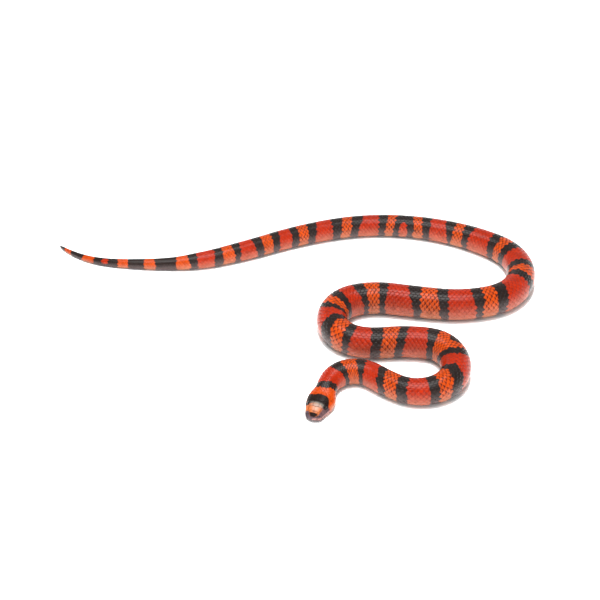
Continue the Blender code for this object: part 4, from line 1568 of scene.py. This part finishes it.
@dataclass
class Mouth:
    """The dark crease between the lips and the two nostrils, both dark as painted shade in the gap and in
    the openings.
    """

    surface: Surface
    depth: float = 0.12
    radius: float = 0.17
    nostril_at: float = 2.9
    nostril_level: float = 6.3
    nostril_radius: float = 0.5
    nostril_narrow: float = 0.8
    nostril_sides: int = 20
    # A nostril's rings: share of its radius, height over the skin, and share of the flat map
    nostril_rings: tuple[Triple, ...] = (
        (1.0, -0.4, 1.0), (1.0, 0.19, 0.9), (0.6, 0.16, 0.5),
    )
    # How dark the nostrils and the crease are: painted shade in their openings
    nostril_painted_shade: float = 0.012
    crease_painted_shade: float = 0.030
    crease_steps: int = 60
    crease_sides: int = 8
    crease_end: float = 0.2
    crease_tapers: int = 4

    def build(self, finish: bpy.types.Material) -> None:
        """Build the crease and the nostrils.

        Args:
            finish: their material.
        """
        surface = self.surface
        back = np.linspace(surface.sizes.mouth_corner, 1.0, self.crease_steps)
        level = surface.mouth_level(back)
        side = np.array([surface.turn_at_level(float(s), float(z)) for s, z in zip(back, level)])
        self._crease(np.concatenate((surface.at(back, side, -self.depth),
                                     surface.at(back[::-1], -side[::-1], -self.depth))), finish)
        for sign, name in ((1, "nostril_right"), (-1, "nostril_left")):
            self._nostril(sign, name, finish)

    def _nostril(self, sign: int, name: str, finish: bpy.types.Material) -> None:
        """A low ring with a hollow in it.

        Args:
            sign: 1 on the side of rising turns, -1 on the other.
            name: the piece's name.
            finish: its material.
        """
        surface, count = self.surface, self.nostril_sides
        middle = sign * surface.turn_at_level(self.nostril_at, self.nostril_level)
        angle = np.linspace(0, 2 * math.pi, count + 1)[:-1]
        along = self.nostril_radius * np.cos(angle)
        across = self.nostril_narrow * self.nostril_radius * np.sin(angle)
        across = across / float(surface.girth_at(self.nostril_at))
        points = np.concatenate([surface.at(self.nostril_at + share * along, middle + share * across, out)
                                 for share, out, _ in self.nostril_rings])
        flat = np.concatenate([0.5 + 0.4 * share * np.stack((np.cos(angle), np.sin(angle)), axis=1)
                               for _, _, share in self.nostril_rings])
        self._dark(name, points, count, flat, self.nostril_painted_shade, finish)

    def _crease(self, centre: np.ndarray, finish: bpy.types.Material) -> None:
        """A thin tube along a line of points, slim at its ends.

        Args:
            centre: the line.
            finish: the tube's material.
        """
        steps, sides = len(centre), self.crease_sides
        forward = np.gradient(centre, axis=0)
        forward /= np.linalg.norm(forward, axis=1, keepdims=True)
        side = np.cross(forward, np.array((0.0, 0.0, 1.0)))
        side /= np.linalg.norm(side, axis=1, keepdims=True)
        over = np.cross(side, forward)
        angle = (np.arange(sides) * 2 * math.pi / sides)[None, :, None]
        from_end = np.minimum(np.arange(steps), np.arange(steps)[::-1])
        slim = self.radius * np.clip(from_end / self.crease_tapers + self.crease_end, 0, 1)
        ring = side[:, None] * np.cos(angle) + over[:, None] * np.sin(angle)
        points = (centre[:, None] + ring * slim[:, None, None]).reshape(-1, 3)
        i, j = grid_of(steps, sides)
        flat = np.stack((j / sides, i / steps), axis=1)
        self._dark("mouth_crease", points, sides, flat, self.crease_painted_shade, finish)

    @staticmethod
    def _dark(name: str, points: np.ndarray, around: int, flat: np.ndarray, tone: float,
              finish: bpy.types.Material) -> None:
        """Join rings into a dark piece that is closed at both ends.

        Args:
            name: the piece's name.
            points: its rings' points.
            around: how many points each ring has.
            flat: the points' flat coordinates.
            tone: how bright its grey is.
            finish: its material.
        """
        ring = np.arange(around)
        faces = [ring_quads(len(points) // around, around), ring[None, ::-1],
                 (len(points) - around + ring)[None, :]]
        colour = np.full((len(points), 3), tone)
        faces_outwards(MeshParts(points, faces, colour, flat).build(name, finish, Ground.BLACK.slot))


@dataclass(frozen=True)
class Softbox:
    """A light with a rectangular face, in metres and watts."""

    name: str
    at: Triple
    towards: Triple
    size: tuple[float, float]
    power: float
    mirrored: bool = True

    def hang(self) -> bpy.types.Object:
        """Hang the light so that it faces its point.

        Returns:
            The light.
        """
        data = bpy.data.lights.new(self.name, "AREA")
        data.shape = "RECTANGLE"
        data.size, data.size_y = self.size
        data.energy = self.power
        light = bpy.data.objects.new(self.name, data)
        light.location = self.at
        aim = Vector(self.towards) - Vector(self.at)
        light.rotation_euler = aim.to_track_quat("-Z", "Y").to_euler()
        light.visible_glossy = self.mirrored
        bpy.context.scene.collection.objects.link(light)
        return light


@dataclass(frozen=True)
class Studio:
    """The white floor, its surround, three lights and the camera at the photograph's view."""

    camera_at: Triple = (7.21, -1034.86, 800.4)
    pitch: float = 37.0
    sensor: float = 36.0
    focal_pixels: float = 1400.0
    frame_pixels: float = 600.0
    picture_up: float = 1.4
    floor_half: float = 6.0
    floor_white: float = 0.95
    band_top: tuple[float, float] = (0.30, 0.48)
    band_glow: float = 1.0
    dark_glow: float = 0.30
    floor_roughness: float = 0.7
    near_clip: float = 0.01
    softbox: Softbox = Softbox("softbox_above", (-0.04, -0.08, 1.2), (-0.04, -0.08, 0.0), (0.90, 1.0), 18.5)
    fill: Softbox = Softbox("fill_by_camera", (0.0, -1.9, 1.4), (0.0, 0.1, 0.0), (4.0, 2.0), 14.0, False)
    floor_light: Softbox = Softbox("light_on_floor", (0.0, 0.05, 2.5), (0.0, 0.05, 0.0), (0.4, 0.4),
                                   72.0, False)

    def build(self) -> None:
        """Set up all of it, with one light that falls on the floor alone."""
        self._camera()
        floor = self._floor()
        self.softbox.hang()
        self.fill.hang()
        lit = bpy.data.collections.new("lit_by_floor_light")
        lit.objects.link(floor)
        self.floor_light.hang().light_linking.receiver_collection = lit
        world = bpy.data.worlds.new("studio")
        bpy.context.scene.world = world
        world.use_nodes = True
        self._surround(world.node_tree)
        bpy.context.scene.view_settings.view_transform = "Standard"

    def _surround(self, tree: bpy.types.NodeTree) -> None:
        """A bright band round the set near the floor, and a dimmer sky above it.

        Args:
            tree: the world's nodes.
        """
        place = tree.nodes.new("ShaderNodeTexCoord")
        split = tree.nodes.new("ShaderNodeSeparateXYZ")
        tree.links.new(place.outputs["Generated"], split.inputs["Vector"])
        band = tree.nodes.new("ShaderNodeMapRange")
        band.interpolation_type = "SMOOTHSTEP"
        for name, value in zip(("From Min", "From Max", "To Min", "To Max"),
                               (*self.band_top, self.band_glow, self.dark_glow)):
            band.inputs[name].default_value = value
        tree.links.new(split.outputs["Z"], band.inputs["Value"])
        tree.links.new(band.outputs["Result"], tree.nodes["Background"].inputs["Strength"])
        tree.nodes["Background"].inputs["Color"].default_value = (1.0, 1.0, 1.0, 1.0)

    def _camera(self) -> None:
        """Place the camera, level and pitched down."""
        data = bpy.data.cameras.new("camera")
        data.sensor_width = self.sensor
        data.lens = self.sensor * self.focal_pixels / self.frame_pixels
        data.shift_y = -self.picture_up / self.frame_pixels
        data.clip_start = self.near_clip
        camera = bpy.data.objects.new("camera", data)
        camera.location = Vector(self.camera_at) * MM
        camera.rotation_euler = (math.radians(90.0 - self.pitch), 0.0, 0.0)
        bpy.context.scene.collection.objects.link(camera)
        bpy.context.scene.camera = camera

    def _floor(self) -> bpy.types.Object:
        """A wide white floor at the snake's belly.

        Returns:
            The floor.
        """
        mesh = bpy.data.meshes.new("floor")
        half = self.floor_half
        corners = [(-half, -half, 0.0), (half, -half, 0.0), (half, half, 0.0), (-half, half, 0.0)]
        mesh.from_pydata(corners, [], [(0, 1, 2, 3)])
        floor = bpy.data.objects.new("floor", mesh)
        bpy.context.scene.collection.objects.link(floor)
        white = bpy.data.materials.new("floor_white")
        white.use_nodes = True
        shader = white.node_tree.nodes["Principled BSDF"]
        shader.inputs["Base Color"].default_value = (*(self.floor_white,) * 3, 1.0)
        shader.inputs["Roughness"].default_value = self.floor_roughness
        mesh.materials.append(white)
        return floor


def main() -> None:
    """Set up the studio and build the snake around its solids."""
    logging.basicConfig(level=logging.INFO, format="%(name)s %(message)s")
    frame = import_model()
    tints = Tints()
    surface = Surface(SnakeSizes())
    markings = Markings(surface, tints)
    flesh = [name for name in frame["nodes"] if not name.startswith("eye_")]
    grounds = {
        Ground.RED: SkinFinish("red_scales").material(),
        Ground.ORANGE: SkinFinish("orange_scales").material(),
        Ground.BLACK: SkinFinish("black_scales", roughness=0.22, mottle=0.25).material(),
    }
    under = SkinFinish("skin_between_scales", roughness=0.45, shine=0.2).material()
    shield = SkinFinish("head_shields", roughness=0.30, shine=0.12).material()
    wet = WetFinish("eye_cap").material()
    Studio().build()
    Skin(surface, markings).build(under, flesh)
    coat = ScaleCoat(surface, markings, ScaleShape())
    coat.build(grounds)
    BellyScutes(surface, markings, coat).build(under)
    HeadShields(surface, markings).build(shield)
    for side in (1, -1):
        Eye(surface, side).build(wet, shield, tints)
    Mouth(surface).build(under)


if __name__ == "__main__":
    main()
